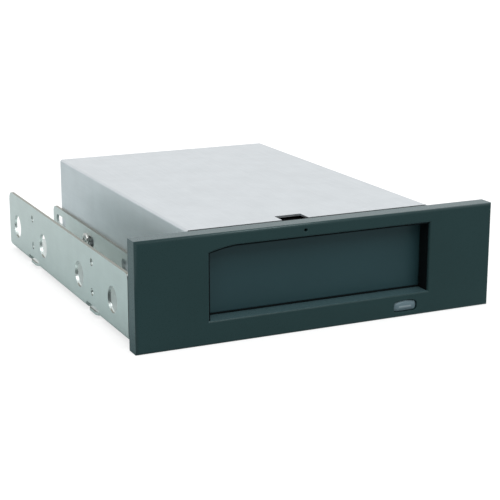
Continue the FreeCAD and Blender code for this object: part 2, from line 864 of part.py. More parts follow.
def cartridge_bay():
    """Moulded frame: floor, side walls, rear wall, runners and screw posts."""
    floor_front = door_back + door_side_gap + slide_gap
    floor = block((-frame_outer, frame_outer), (floor_front, wall_back), (floor_low, floor_top))
    pieces = [floor, frame_side(-1), frame_side(1)]
    runner_front = hinge_y + math.sqrt(door_reach ** 2 - (hinge_z - runner_top - slide_gap) ** 2)
    for x in runner_places:
        ramp = [(runner_front, floor_top), (wall_front, floor_top), (wall_front, runner_top),
                (runner_front + runner_ramp, runner_top)]
        pieces.append(prism("x", ramp, *centred(x, runner_width)))
    rear = block((-frame_outer, frame_outer), (wall_front, wall_back), (floor_low, plate_low))
    plug_window = block(centred(0, plug_width + 2 * slide_gap), (wall_front, wall_back),
                        (plug_low - slide_gap, plug_low + plug_height + slide_gap))
    slide_window = block(centred(slide_x, slide_width + 2 * slide_gap), (wall_front, wall_back),
                         (slide_low - slide_gap, plate_low))
    rack_window = block(centred(slide_x, rack_face + 2 * slide_gap), (wall_front, wall_back),
                        (rack_tip - slide_gap, plate_low))
    rear = rear.cut([plug_window, slide_window, rack_window])
    pieces.append(rear)
    for x, y in post_places():
        pieces.append(rod("z", x, y, post_radius, tray_floor, floor_low))
    for x, z in backplane_screw_places():
        pieces.append(rod("y", x, z, backplane_boss_radius, wall_back, backplane_front))
    bay = fused(pieces)
    shank, head, depth = countersunk_screw
    cuts = []
    for x, y in post_places():
        cuts.append(rod("z", x, y, shank + seat_gap, tray_floor, floor_low))
        cuts.append(cone("z", x, y, head + 0.1, head + 0.1 - depth, housing_base, housing_base + depth))
    for x, z in backplane_screw_places():
        cuts.append(rod("y", x, z, board_screw[0] + seat_gap, wall_front, backplane_front))
    for x, z in gearbox_screw_places():
        cuts.append(rod("y", x, z, board_screw[0] + seat_gap, wall_front, wall_back))
    return bay.cut(cuts)


def bay_screws():
    """Countersunk screws from under the tray into the bay frame's posts."""
    shank, head, depth = countersunk_screw
    screws = []
    for x, y in post_places():
        taper = cone("z", x, y, head, shank, housing_base + seat_gap, housing_base + depth)
        screws.append(fused([taper, rod("z", x, y, shank, housing_base + depth, floor_low)]))
    return Part.makeCompound(screws)


def standoff_places():
    """Centres of the main board's standoffs."""
    rows = (board_front + standoff_front, board_back - standoff_back)
    return [(side * standoff_x, y) for y in rows for side in (-1, 1)]


def insulator_sheet():
    """Thin sheet between the tray and the main board."""
    top = tray_floor + sheet_thickness
    sheet = block(centred(0, board_width), (board_front, board_back), (tray_floor, top))
    holes = [rod("z", x, y, standoff_radius + slide_gap, tray_floor, top)
             for x, y in standoff_places()]
    return sheet.cut(holes)


def board_standoffs():
    """Round standoffs riveted to the tray's floor."""
    stands = []
    for x, y in standoff_places():
        tube = rod("z", x, y, standoff_radius, tray_floor, board_low)
        stands.append(tube.cut(rod("z", x, y, board_screw[0] + seat_gap, tray_floor, board_low)))
    return Part.makeCompound(stands)


def main_board():
    """Main circuit board."""
    board = panel("z", centred(0, board_width), (board_front, board_back), board_low, board_top,
                  small_corner)
    hole = board_screw[0] + running_gap
    holes = [rod("z", x, y, hole, board_low, board_top) for x, y in standoff_places()]
    return board.cut(holes)


def board_screws():
    """Screws of the main board."""
    length = board_top - tray_floor
    screws = [pan_screw("z", x, y, board_top, -1, board_screw, length) for x, y in standoff_places()]
    return Part.makeCompound(screws)


def bridge_chip():
    """Square interface chip with a marked corner."""
    y = board_front + chip_back
    chip = block(centred(0, chip_side), centred(y, chip_side), (board_top, board_top + chip_height))
    mark = chip_side / 2 - chip_mark
    top = board_top + chip_height
    return chip.cut(rod("z", -mark, y - mark, chip_mark_radius, top - chip_mark_depth, top))


def memory_chips():
    """Two small oblong chips."""
    y = centred(board_front + memory_back, memory_length)
    z = (board_top, board_top + chip_height)
    return Part.makeCompound([block(centred(x, memory_width), y, z) for x in (-memory_x, memory_x)])


def board_capacitors():
    """Row of can capacitors behind the bay."""
    first = flex_x() + socket_width / 2 + slide_gap + can_radius
    cans = []
    for i in range(can_count):
        x = first + can_pitch * i
        cans.append(rod("z", x, wall_back + supply_back, can_radius, board_top, board_top + can_height))
    return Part.makeCompound(cans)


def power_coil():
    """Inductor of the board's supply."""
    return panel("z", centred(coil_x, coil_side), centred(wall_back + supply_back, coil_side), board_top,
                 board_top + coil_height, small_corner)


def host_connector():
    """Board-edge connector that the machine's cable plugs into."""
    y = (board_back - host_inboard, board_back - host_inboard + host_depth)
    z = (board_top, board_top + host_height)
    cavity_y = (y[1] - host_cavity, y[1])
    tongue_y = (cavity_y[0], y[1] - tongue_back)
    return plug_shell(centred(host_x, host_width), y, z, cavity_y, tongue_y)


def plug_shell(x, y, z, cavity_y, tongue_y):
    """Connector body with a cavity and the tongue inside it."""
    cavity = block((x[0] + shell_wall, x[1] - shell_wall), cavity_y, (z[0] + shell_wall, z[1] - shell_wall))
    tongue_z = centred((z[0] + z[1]) / 2, tongue_sheet)
    tongue = block((x[0] + tongue_margin, x[1] - tongue_margin), tongue_y, tongue_z)
    return fused([block(x, y, z).cut(cavity), tongue])


def backplane_screw_places():
    """Screw centres of the backplane."""
    x = backplane_width / 2 - backplane_screw_margin
    return [(side * x, backplane_screw_z) for side in (-1, 1)]


def backplane_board():
    """Upright board that carries the cartridge connector."""
    board = panel("y", centred(0, backplane_width), (backplane_low, backplane_high), backplane_front,
                  backplane_back, small_corner)
    holes = [rod("y", x, z, board_screw[0] + running_gap, backplane_front, backplane_back)
             for x, z in backplane_screw_places()]
    return board.cut(holes)


def backplane_screws():
    """Screws of the backplane."""
    length = backplane_back - wall_front
    seat = backplane_back
    screws = [pan_screw("y", x, z, seat, -1, board_screw, length) for x, z in backplane_screw_places()]
    return Part.makeCompound(screws)


def cartridge_connector():
    """Connector that reaches through the bay's rear wall to the cartridge."""
    front = wall_front - plug_reach
    z = (plug_low, plug_low + plug_height)
    return plug_shell(centred(0, plug_width), (front, backplane_front), z, (front, front + plug_cavity),
                      (front + tongue_back, front + plug_cavity))


def flex_x():
    """Middle of the flat cable, beside the motor's end."""
    return motor_front + motor_length + shaft_end + slide_gap + socket_width / 2


def flex_line():
    """Run of the flat cable: behind the backplane, above the main board and at its lower socket."""
    return backplane_back + socket_upper / 2, board_top + socket_height / 2, wall_back + supply_back - 2.0


def flex_sockets():
    """Socket on the backplane and socket on the main board."""
    y_drop, z_run, y_end = flex_line()
    x = centred(flex_x(), socket_width)
    slot_x = centred(flex_x(), flex_width + socket_slot)
    slot = flex_thickness + socket_slot
    low = backplane_low + socket_low
    upper = block(x, (backplane_back, backplane_back + socket_upper), (low, low + socket_tall))
    upper = upper.cut(block(slot_x, centred(y_drop, slot), (low, low + flex_grip + socket_slot)))
    lower = block(x, (y_end, y_end + socket_lower), (board_top, board_top + socket_height))
    lower = lower.cut(block(slot_x, (y_end, y_end + flex_grip + socket_slot), centred(z_run, slot)))
    return Part.makeCompound([upper, lower])


def flex_cable():
    """Flat cable from the backplane down to the main board."""
    y_drop, z_run, y_end = flex_line()
    half = flex_thickness / 2
    top = backplane_low + socket_low + flex_grip
    end = y_end + flex_grip
    outline = [(y_drop - half, top), (y_drop - half, z_run - half), (end, z_run - half), (end, z_run + half),
               (y_drop + half, z_run + half), (y_drop + half, top)]
    bends = [0, flex_bend + flex_thickness, 0, 0, flex_bend, 0]
    return prism("x", outline, *centred(flex_x(), flex_width), bends)


def gear_points(teeth, module, phase, middle):
    """Outline of an involute spur gear with a tooth at angle phase, in plane coordinates."""
    pitch = module * teeth / 2
    base = pitch * math.cos(math.radians(20))
    tip = pitch + 0.9 * module
    root = pitch - 1.2 * module
    half_pitch = math.pi / (2 * teeth) - backlash / (2 * pitch)
    at_pitch = math.tan(math.radians(20)) - math.radians(20)

    def half_angle(radius):
        roll = math.acos(min(base / radius, 1))
        return half_pitch + at_pitch - (math.tan(roll) - roll)

    flank = [(max(base, root), half_angle(max(base, root)))]
    flank.append((pitch, half_pitch))
    flank.append((tip, half_angle(tip)))
    if root < base:
        flank.insert(0, (root, half_angle(base) * 0.8))
    points = []
    for i in range(teeth):
        centre = phase + i * 2 * math.pi / teeth
        for radius, half in flank:
            points.append((radius, centre - half))
        for radius, half in reversed(flank):
            points.append((radius, centre + half))
    return [(middle[0] + r * math.cos(a), middle[1] + r * math.sin(a)) for r, a in points]


def meshing_phase(angle, phase, teeth, other_teeth):
    """Phase of the second gear, whose centre lies at angle from the first one's centre."""
    slip = angle - phase
    return angle + math.pi - math.pi / other_teeth + slip * teeth / other_teeth


def polar(middle, angle, distance):
    """Point at a distance and an angle from a middle."""
    return (middle[0] + distance * math.cos(angle), middle[1] + distance * math.sin(angle))


drive_middle = (drive_axle_y, drive_axle_z)
reduction_angle = math.radians(reduction_turn)
reduction_middle = polar(drive_middle, reduction_angle, gear_distance)
motor_angle = math.radians(motor_turn)
motor_middle = polar(reduction_middle, motor_angle, gear_distance)
drive_phase = math.pi / 2
reduction_phase = meshing_phase(reduction_angle, drive_phase, wheel_teeth, pinion_teeth)
motor_phase = meshing_phase(motor_angle, reduction_phase, wheel_teeth, pinion_teeth)

# Places of the gears along their axles, from the outer cheek inward
outer_cheek = slide_x - rack_face / 2 - cheek_gap * 5 - cheek_thickness
rack_pinion_x = centred(slide_x, rack_face)
drive_wheel_x = (rack_pinion_x[1] + slide_width / 2, rack_pinion_x[1] + slide_width / 2 + wheel_face)
reduction_pinion_x = centred((drive_wheel_x[0] + drive_wheel_x[1]) / 2, pinion_face)
reduction_wheel_x = (reduction_pinion_x[1] + hub_step, reduction_pinion_x[1] + hub_step + wheel_face)
motor_pinion_x = centred((reduction_wheel_x[0] + reduction_wheel_x[1]) / 2, pinion_face)
inner_cheek = motor_pinion_x[1] + shaft_end
motor_front = inner_cheek + cheek_thickness


def gear(teeth, module, phase, middle, x):
    """Spur gear between two places on its axle."""
    return prism("x", gear_points(teeth, module, phase, middle), *x)


def drive_gear():
    """Wheel and rack pinion on the axle under the rack."""
    hub_x = (outer_cheek + cheek_thickness + cheek_gap, inner_cheek - cheek_gap)
    pieces = [gear(pinion_teeth, rack_module, drive_phase, drive_middle, rack_pinion_x),
              gear(wheel_teeth, wheel_module, drive_phase, drive_middle, drive_wheel_x),
              rod("x", *drive_middle, hub_radius, *hub_x)]
    bore = axle_radius + running_gap
    return fused(pieces).cut(rod("x", *drive_middle, bore, *hub_x))


def reduction_gear():
    """Wheel and pinion between the motor and the drive gear."""
    hub_x = (outer_cheek + cheek_thickness + cheek_gap, inner_cheek - cheek_gap)
    pieces = [gear(pinion_teeth, wheel_module, reduction_phase, reduction_middle, reduction_pinion_x),
              gear(wheel_teeth, wheel_module, reduction_phase, reduction_middle, reduction_wheel_x),
              rod("x", *reduction_middle, hub_radius, *hub_x)]
    bore = axle_radius + running_gap
    return fused(pieces).cut(rod("x", *reduction_middle, bore, *hub_x))


def motor_pinion():
    """Pinion pressed on the motor's shaft."""
    pinion = gear(pinion_teeth, wheel_module, motor_phase, motor_middle, motor_pinion_x)
    return pinion.cut(rod("x", *motor_middle, shaft_radius + seat_gap / 2, *motor_pinion_x))


def motor_shaft():
    """Shaft of the motor, which runs through its can."""
    return rod("x", *motor_middle, shaft_radius, motor_pinion_x[0], motor_front + motor_length + shaft_end)


def eject_motor():
    """Can of the motor with flats above and below and a bearing boss at each end."""
    y = centred(motor_middle[0], motor_width)
    z = centred(motor_middle[1], motor_height)
    can = rod("x", *motor_middle, motor_width / 2, motor_front, motor_front + motor_length)
    can = can.common(block((motor_front, motor_front + motor_length), y, z))
    motor_back = motor_front + motor_length
    can = fused([can, rod("x", *motor_middle, motor_boss_radius, motor_back, motor_back + motor_boss)])
    return can.cut(rod("x", *motor_middle, shaft_radius + running_gap, motor_front, motor_back + motor_boss))


def gear_axles():
    """Fixed axles of the two gears."""
    x = (outer_cheek, inner_cheek + cheek_thickness)
    middles = (drive_middle, reduction_middle)
    return Part.makeCompound([rod("x", *middle, axle_radius, *x) for middle in middles])


def gearbox_screw_places():
    """Screw centres of the gearbox frame on the bay's rear wall."""
    low, high = gearbox_flange()
    z = (low + high) / 2
    return [(outer_cheek - flange_screw, z), (inner_cheek + cheek_thickness + flange_screw, z)]


def gearbox_flange():
    """Height limits of the gearbox frame's front flange."""
    return backplane_high + slide_gap, rack_tip - slide_gap


def gearbox_frame():
    """Bracket with two cheeks that hold the axles, a front flange and two straps over the slide."""
    flange_z = gearbox_flange()
    flange_x = (outer_cheek - flange_side, inner_cheek + cheek_thickness + flange_side)
    flange_y = (wall_back, wall_back + cheek_thickness)
    flange = panel("y", flange_x, flange_z, *flange_y, small_corner)
    strap_low = slide_top + slide_gap
    strap_top = strap_low + strap_thickness
    rear = drive_axle_y + cheek_rear
    low = reduction_middle[1] - cheek_margin
    high = reduction_middle[1] + cheek_margin
    outer_outline = [(wall_back, flange_z[0]), (wall_back + cheek_margin, low),
                     (reduction_middle[0] + cheek_margin, low), (rear, high), (rear, strap_top),
                     (wall_back, strap_top)]
    motor_low = motor_middle[1] - motor_height / 2
    motor_y, motor_z = motor_middle
    inner_outline = [(wall_back, flange_z[0]), (motor_y - motor_width / 2, motor_z),
                     (motor_y - cheek_margin, motor_low), (motor_y + cheek_margin, motor_low),
                     (motor_y + motor_width / 2, motor_z), (rear, high), (rear, strap_top),
                     (wall_back, strap_top)]
    corner = cheek_corner
    outer = prism("x", outer_outline, outer_cheek, outer_cheek + cheek_thickness, [0] + [corner] * 4 + [0])
    inner = prism("x", inner_outline, inner_cheek, motor_front, [0] + [corner] * 6 + [0])
    back = rear - cheek_corner
    x = (outer_cheek, motor_front)
    straps = [block(x, y, (strap_low, strap_top))
              for y in ((wall_back, wall_back + strap_front), (back - strap_rear, back))]
    frame = fused([flange, outer, inner] + straps)
    slot_x = centred(slide_x, slide_width + 2 * slide_gap)
    cuts = [block(slot_x, flange_y, (slide_low - slide_gap, strap_low))]
    for middle in (drive_middle, reduction_middle):
        cuts.append(rod("x", *middle, axle_radius + seat_gap / 2, *x))
    cuts.append(rod("x", *motor_middle, shaft_radius + slide_gap, *x))
    for place_x, place_z in gearbox_screw_places():
        cuts.append(rod("y", place_x, place_z, board_screw[0] + running_gap, *flange_y))
    return frame.cut(cuts)


def gearbox_screws():
    """Screws of the gearbox frame."""
    seat = wall_back + cheek_thickness
    length = seat - wall_front
    screws = [pan_screw("y", x, z, seat, -1, board_screw, length) for x, z in gearbox_screw_places()]
    return Part.makeCompound(screws)


def ejector_slide():
    """Slide with a rack on its underside and a pusher at its front end."""
    x = centred(slide_x, slide_width)
    bar = block(x, (slide_front, slide_back), (slide_low, slide_top))
    pusher = panel("y", x, (pusher_low, slide_low), slide_front, slide_front + pusher_thickness,
                   [pusher_corner, pusher_corner, 0, 0])
    pitch = math.pi * rack_module
    first = drive_axle_y + pitch / 2 - 2 * pitch
    count = int((slide_back - first - pitch / 2) / pitch) + 1
    tip_half = pitch / 4 - backlash / 2 - 0.9 * rack_module * math.tan(math.radians(20))
    root_half = pitch / 4 - backlash / 2 + 1.25 * rack_module * math.tan(math.radians(20))
    teeth = []
    for i in range(count):
        y = first + i * pitch
        tooth = [(y - root_half, slide_low), (y - tip_half, rack_tip), (y + tip_half, rack_tip),
                 (y + root_half, slide_low)]
        teeth.append(prism("x", tooth, *rack_pinion_x))
    return fused([bar, pusher] + teeth)


def slide_switch():
    """Small switch on the outer cheek that feels the slide's end of travel."""
    return panel("x", centred(drive_axle_y + sensor_back, sensor_length),
                 (slide_low - sensor_height - cheek_thickness, slide_low - cheek_thickness),
                 outer_cheek - sensor_width, outer_cheek, small_corner)


def guide_plate():
    """Flat sheet over the bay that carries the rod's clips and the latch."""
    plate = panel("z", (-frame_outer, frame_outer), (plate_front, plate_back), plate_low, plate_top,
                  plate_corner)
    cuts = [rod("z", latch_x, latch_pivot_y, latch_pin_radius + seat_gap / 2, plate_low, plate_top)]
    middle = (plate_front + latch_pivot_y) / 2
    for side in (-1, 1):
        cuts.append(panel("z", centred(side * plate_window_x, plate_window_width),
                          centred(middle, plate_window_length), plate_low, plate_top, plate_window_corner))
        x = side * plate_screw_x()
        for y in plate_screw_fronts():
            cuts.append(rod("z", x, y, board_screw[0] + running_gap, plate_low, plate_top))
    return plate.cut(cuts)


def rod_clips():
    """Clips that guide the release rod and the tab of the latch spring, all spot-welded to the plate."""
    roof_low = rod_top + slide_gap / 2
    clips = []
    for y in (plate_front + clip_front, latch_pivot_y - clip_back):
        for side in (-1, 1):
            inner = pinhole_x + side * (rod_width / 2 + slide_gap / 2)
            outer = inner + side * clip_sheet
            lip = pinhole_x + side * rod_width / 4
            stand = block(sorted((inner, outer)), (y, y + clip_length), (plate_top, roof_low))
            roof = block(sorted((lip, outer)), (y, y + clip_length), (roof_low, roof_low + clip_roof))
            clips.append(fused([stand, roof]))
    anchor_x = spring_anchor()
    clips.append(block((anchor_x - clip_sheet, anchor_x), centred(spring_y(), anchor_width),
                       (plate_top, rod_top + slide_gap)))
    return Part.makeCompound(clips)


def guide_plate_screws():
    """Screws of the guide plate."""
    length = plate_top - ledge_low
    screws = []
    for side in (-1, 1):
        for y in plate_screw_fronts():
            screws.append(pan_screw("z", side * plate_screw_x(), y, plate_top, -1, board_screw, length))
    return Part.makeCompound(screws)


def release_rod():
    """Flat rod from the pinhole to the latch, with a wide pad under the cover's notch."""
    half = rod_width / 2
    pad = rod_pad_width / 2
    x = pinhole_x
    pad_back = rod_front + rod_pad_length
    neck = pad_back + rod_taper
    outline = [(x - pad, rod_front), (x + pad, rod_front), (x + pad, pad_back), (x + half, neck),
               (x + half, rod_back), (x - half, rod_back), (x - half, neck), (x - pad, pad_back)]
    return prism("z", outline, rod_low, rod_top, small_corner)


def latch_lever():
    """Bell crank with one arm behind the rod and a hook at the end of the other."""
    half = latch_width / 2
    x = latch_x
    y = latch_pivot_y
    arm_end = pinhole_x - rod_width / 2
    tail = y + latch_reach
    outline = [(arm_end, y - half), (x + half, y - half), (x + half, tail), (x - half, tail),
               (x - half, y + half), (arm_end, y + half)]
    crank = prism("z", outline, rod_low, rod_top, [1.5, half - 0.1, 0.5, 0.5, 1.5, 1.5])
    hook_low = cartridge_top - latch_bite
    hook = [(tail, rod_low), (tail, hook_low), (tail - hook_tip, hook_low),
            (hook_front, hook_low + latch_bite), (hook_front, rod_low)]
    lever = fused([crank, prism("x", hook, x - half, x + half)])
    return lever.cut(rod("z", x, y, latch_pin_radius + running_gap, rod_low, rod_top))


def latch_pivot():
    """Shouldered rivet in the guide plate."""
    seat = rod_top + slide_gap / 2
    stem = rod("z", latch_x, latch_pivot_y, latch_pin_radius, plate_low, seat)
    head = rod("z", latch_x, latch_pivot_y, latch_pin_radius + latch_head, seat, seat + latch_head_height)
    return fused([stem, head])


def spring_anchor():
    """Face of the tab that holds the latch spring."""
    return latch_x - latch_width / 2 - anchor_reach


def spring_y():
    """Distance of the latch spring from the bezel's front face."""
    return latch_pivot_y + anchor_back


def latch_spring():
    """Coil between the anchor tab and the latch."""
    low = spring_anchor() + slide_gap / 2
    high = latch_x - latch_width / 2 - slide_gap / 2
    middle = rod_low + spring_radius + spring_wire
    return helix_spring("x", spring_y(), middle, low, high, spring_radius, spring_wire, latch_turns)


PIECES = [front_bezel, dust_door, door_hinge_pins, door_spring, eject_button, switch_plunger, eject_switch,
          button_led, top_cover, bottom_tray, left_bracket, right_bracket, bracket_screws_left,
          bracket_screws_right, cartridge_bay, bay_screws, insulator_sheet, board_standoffs, main_board,
          board_screws, bridge_chip, memory_chips, board_capacitors, power_coil, host_connector,
          backplane_board, backplane_screws, cartridge_connector, flex_sockets, flex_cable, drive_gear,
          reduction_gear, motor_pinion, motor_shaft, eject_motor, gear_axles, gearbox_frame, gearbox_screws,
          ejector_slide, slide_switch, guide_plate, rod_clips, guide_plate_screws, release_rod, latch_lever,
          latch_pivot, latch_spring]

os.makedirs("parts", exist_ok=True)
for piece in PIECES:
    shape = piece()
    shape.translate(Vector(0, -overall_depth / 2, 0))
    shape.exportStep("parts/" + piece.__name__ + ".step")
    print(piece.__name__, len(shape.Solids), round(shape.Volume, 1), shape.isValid())
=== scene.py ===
import math

import bmesh
import bpy
from bpy.props import FloatProperty, FloatVectorProperty, PointerProperty
from mathutils import Euler, Matrix, Vector


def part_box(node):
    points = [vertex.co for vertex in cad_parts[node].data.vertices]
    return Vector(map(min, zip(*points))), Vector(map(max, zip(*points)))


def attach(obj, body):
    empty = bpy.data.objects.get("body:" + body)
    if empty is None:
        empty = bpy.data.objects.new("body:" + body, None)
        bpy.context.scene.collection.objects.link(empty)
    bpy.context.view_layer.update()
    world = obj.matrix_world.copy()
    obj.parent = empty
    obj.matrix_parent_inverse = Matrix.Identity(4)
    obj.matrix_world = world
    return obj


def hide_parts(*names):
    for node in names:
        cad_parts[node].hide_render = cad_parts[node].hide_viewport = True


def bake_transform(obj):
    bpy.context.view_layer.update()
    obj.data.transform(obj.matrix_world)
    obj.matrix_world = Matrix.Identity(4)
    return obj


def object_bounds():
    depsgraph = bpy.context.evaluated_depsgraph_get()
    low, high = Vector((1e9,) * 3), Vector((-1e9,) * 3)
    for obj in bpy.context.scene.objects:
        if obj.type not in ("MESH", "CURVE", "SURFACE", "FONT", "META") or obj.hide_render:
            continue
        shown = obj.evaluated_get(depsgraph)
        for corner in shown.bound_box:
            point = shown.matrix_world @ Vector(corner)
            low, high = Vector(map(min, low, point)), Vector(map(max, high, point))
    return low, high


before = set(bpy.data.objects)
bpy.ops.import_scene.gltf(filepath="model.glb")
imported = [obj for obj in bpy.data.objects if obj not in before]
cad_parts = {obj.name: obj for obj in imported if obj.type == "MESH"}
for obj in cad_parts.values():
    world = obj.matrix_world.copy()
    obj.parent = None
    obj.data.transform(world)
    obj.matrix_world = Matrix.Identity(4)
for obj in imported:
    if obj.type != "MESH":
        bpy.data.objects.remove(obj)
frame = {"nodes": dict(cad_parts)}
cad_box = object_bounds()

bl_info = {
    "name": "Removable cartridge drive",
    "version": (1, 0, 0),
    "blender": (4, 5, 0),
    "location": "3D View > Sidebar > Cartridge drive",
    "description": "Dresses a cartridge drive with its finishes, fine parts and a plain studio",
    "category": "Object",
}

MM = 0.001
WHITE = (1, 1, 1, 1)
UP = Vector((0, 0, 1))
# Points this close are one point: in a new piece or a spring's wire, and in other copied meshes.
MERGE = 1e-7
COPY_MERGE = 1e-6
# Corners this close to a plane or line lie on it.
ON_PLANE = 1e-5
# Faces at a smaller angle to each other are one flat face, or one smooth wire.
FLAT_ANGLE = math.radians(0.5)
SMOOTH_ANGLE = math.radians(40)
# A face looks along an axis when its normal has more than the first share there, and across it
# when it has less than the second.
ALONG = 0.99
ACROSS = 0.1


def srgb(text):
    """Linear colour of a six-digit sRGB hex value."""
    channels = [int(text[i:i + 2], 16) / 255 for i in (0, 2, 4)]
    linear = [c / 12.92 if c <= 0.04045 else ((c + 0.055) / 1.055) ** 2.4 for c in channels]
    return (*linear, 1.0)


def shade(colour, factor):
    """Colour made lighter or darker by a factor."""
    return (*[min(c * factor, 1.0) for c in colour[:3]], 1.0)


def add_node(tree, kind, settings=None, links=None):
    """New shader node with its settings, socket values and incoming links."""
    node = tree.nodes.new(kind)
    for name, value in (settings or {}).items():
        if isinstance(name, int) or name in node.inputs:
            node.inputs[name].default_value = value
        else:
            setattr(node, name, value)
    for name, output in (links or {}).items():
        tree.links.new(output, node.inputs[name])
    return node


# ---- Patterns and masks ----

# Most values of a noise lie between these, and are spread to the limits that a finish needs.
NOISE_RANGE = {"From Min": 0.3, "From Max": 0.7}


def start_material(name):
    """Material with object coordinates in metres and a shader joined to its output."""
    material = bpy.data.materials.new(name)
    material.use_nodes = True
    tree = material.node_tree
    tree.nodes.clear()
    coordinates = add_node(tree, "ShaderNodeTexCoord").outputs["Object"]
    shader = add_node(tree, "ShaderNodeBsdfPrincipled")
    add_node(tree, "ShaderNodeOutputMaterial", None, {"Surface": shader.outputs["BSDF"]})
    return material, tree, coordinates, shader


def noise(tree, at, size_mm, detail=2.0, stretch=(1, 1, 1)):
    """Noise whose features are about size_mm across, drawn out along an axis by stretch."""
    scale = tuple(1 / s for s in stretch)
    mapped = add_node(tree, "ShaderNodeMapping", {"Scale": scale}, {"Vector": at})
    settings = {"Scale": 1 / (size_mm * MM), "Detail": detail, "Roughness": 0.55}
    links = {"Vector": mapped.outputs["Vector"]}
    return add_node(tree, "ShaderNodeTexNoise", settings, links).outputs["Fac"]


def tinted(tree, pattern, colour, darkest, lightest):
    """A colour that a noise varies between two factors."""
    settings = {**NOISE_RANGE, "To Min": 0.0, "To Max": 1.0}
    share = add_node(tree, "ShaderNodeMapRange", settings, {"Value": pattern})
    settings = {"data_type": "RGBA", 6: shade(colour, darkest), 7: shade(colour, lightest)}
    return add_node(tree, "ShaderNodeMix", settings, {0: share.outputs["Result"]}).outputs[2]


def within(tree, value, low, high, edge):
    """One where a value lies between two limits, and nought beyond them, with soft edges."""
    rise = {"From Min": low - edge, "From Max": low, "To Min": 0.0, "To Max": 1.0}
    fall = {"From Min": high, "From Max": high + edge, "To Min": 1.0, "To Max": 0.0}
    ramps = [add_node(tree, "ShaderNodeMapRange", limits, {"Value": value}).outputs["Result"]
             for limits in (rise, fall)]
    links = {0: ramps[0], 1: ramps[1]}
    return add_node(tree, "ShaderNodeMath", {"operation": "MULTIPLY"}, links).outputs["Value"]


def facing_up(tree, least):
    """One on faces whose normal points upward by at least this much of its length."""
    normal = add_node(tree, "ShaderNodeNewGeometry").outputs["Normal"]
    upward = add_node(tree, "ShaderNodeSeparateXYZ", None, {"Vector": normal}).outputs["Z"]
    return within(tree, upward, least, high=1.1, edge=0.1)


def patched(tree, colour, other, mask, second_mask):
    """A colour that turns to another one where both masks are one."""
    links = {0: mask, 1: second_mask}
    both = add_node(tree, "ShaderNodeMath", {"operation": "MULTIPLY"}, links)
    settings = {"data_type": "RGBA", 7: other}
    links = {0: both.outputs["Value"], 6: colour}
    return add_node(tree, "ShaderNodeMix", settings, links).outputs[2]


def coat(tree, shader, colour, pattern, roughness, variation, depth_mm=0.0, strength=1.0):
    """Joins a shader to its colour, and to one pattern for its roughness and, with a depth, for
    its relief. The roughness varies below and above its middle value by two amounts."""
    below, above = variation
    settings = {**NOISE_RANGE, "To Min": roughness - below, "To Max": roughness + above}
    gloss = add_node(tree, "ShaderNodeMapRange", settings, {"Value": pattern})
    tree.links.new(colour, shader.inputs["Base Color"])
    tree.links.new(gloss.outputs["Result"], shader.inputs["Roughness"])
    if depth_mm:
        settings = {"Strength": strength, "Distance": depth_mm * MM}
        bump = add_node(tree, "ShaderNodeBump", settings, {"Height": pattern})
        tree.links.new(bump.outputs["Normal"], shader.inputs["Normal"])


# ---- Finishes ----

# Heights of the mouth's sill, whose upward faces get a paler colour as painted light.
SILL = (8.8 * MM, 9.4 * MM)
# Heights of the brackets' upper edges, and distances of their lobes from the middle.
FLANGE_EDGES = (17 * MM, 30 * MM)
LOBE_EDGES = (72.4 * MM, 80 * MM)


def moulded_abs(name, colour, roughness, grain_mm=0.3, depth_mm=0.003, sill_painted_light=None):
    """Spark-eroded ABS: a fine even grain that breaks up the gloss, with a slow drift of tone.
    A paler colour, if given, shows on the sill's upward faces as painted light."""
    material, tree, at, shader = start_material(name)
    drift = noise(tree, at, size_mm=30.0, detail=3.0)
    grain = noise(tree, at, size_mm=grain_mm)
    tint = tinted(tree, drift, colour, darkest=0.94, lightest=1.06)
    # Painted light: the sill's upward faces turn to the paler colour.
    if sill_painted_light:
        height = add_node(tree, "ShaderNodeSeparateXYZ", None, {"Vector": at}).outputs["Z"]
        level = within(tree, height, *SILL, edge=0.1 * MM)
        tint = patched(tree, tint, sill_painted_light, level, facing_up(tree, least=0.8))
    coat(tree, shader, tint, grain, roughness, variation=(0.04, 0.05), depth_mm=depth_mm)
    shader.inputs["IOR"].default_value = 1.53
    shader.inputs["Specular Tint"].default_value = (0.8, 0.97, 1.0, 1.0)
    shader.inputs["Sheen Weight"].default_value = 0.3
    shader.inputs["Sheen Roughness"].default_value = 0.4
    shader.inputs["Sheen Tint"].default_value = srgb("9fd0dc")
    return material


def zinc_sheet(name, colour, roughness, darker_upward_tone=None):
    """Zinc-coated rolled sheet: a pale metal with soft streaks along the rolling direction and a
    faint cloud of crystals, so long reflections stay soft and slightly uneven. A darker, slightly
    brown colour, if given, shows on the upward faces of the brackets' upper edges and lobes."""
    material, tree, at, shader = start_material(name)
    streaks = noise(tree, at, size_mm=0.5, detail=3.0, stretch=(1, 40, 1))
    clouds = noise(tree, at, size_mm=9.0)
    tint = tinted(tree, clouds, colour, darkest=0.965, lightest=1.02)
    # Darker, slightly brown colour on the upward faces of the brackets' upper edges and lobes.
    if darker_upward_tone:
        place = add_node(tree, "ShaderNodeSeparateXYZ", None, {"Vector": at}).outputs
        side = add_node(tree, "ShaderNodeMath", {"operation": "ABSOLUTE"}, {0: place["X"]})
        high = within(tree, place["Z"], *FLANGE_EDGES, edge=0.5 * MM)
        outer = within(tree, side.outputs["Value"], *LOBE_EDGES, edge=0.1 * MM)
        edge = add_node(tree, "ShaderNodeMath", {"operation": "MAXIMUM"}, {0: high, 1: outer})
        tint = patched(tree, tint, darker_upward_tone, facing_up(tree, least=0.9), edge.outputs["Value"])
    coat(tree, shader, tint, streaks, roughness, variation=(0.05, 0.05), depth_mm=0.003,
         strength=0.3)
    shader.inputs["Metallic"].default_value = 0.9
    return material


def plain_metal(name, colour, roughness, mark_mm=0.2):
    """Small turned, drawn or ground metal parts: bright, with fine tool marks that vary the
    gloss."""
    material, tree, at, shader = start_material(name)
    marks = noise(tree, at, size_mm=mark_mm)
    tint = tinted(tree, marks, colour, darkest=0.92, lightest=1.05)
    coat(tree, shader, tint, marks, roughness, variation=(0.06, 0.06))
    shader.inputs["Metallic"].default_value = 1.0
    return material


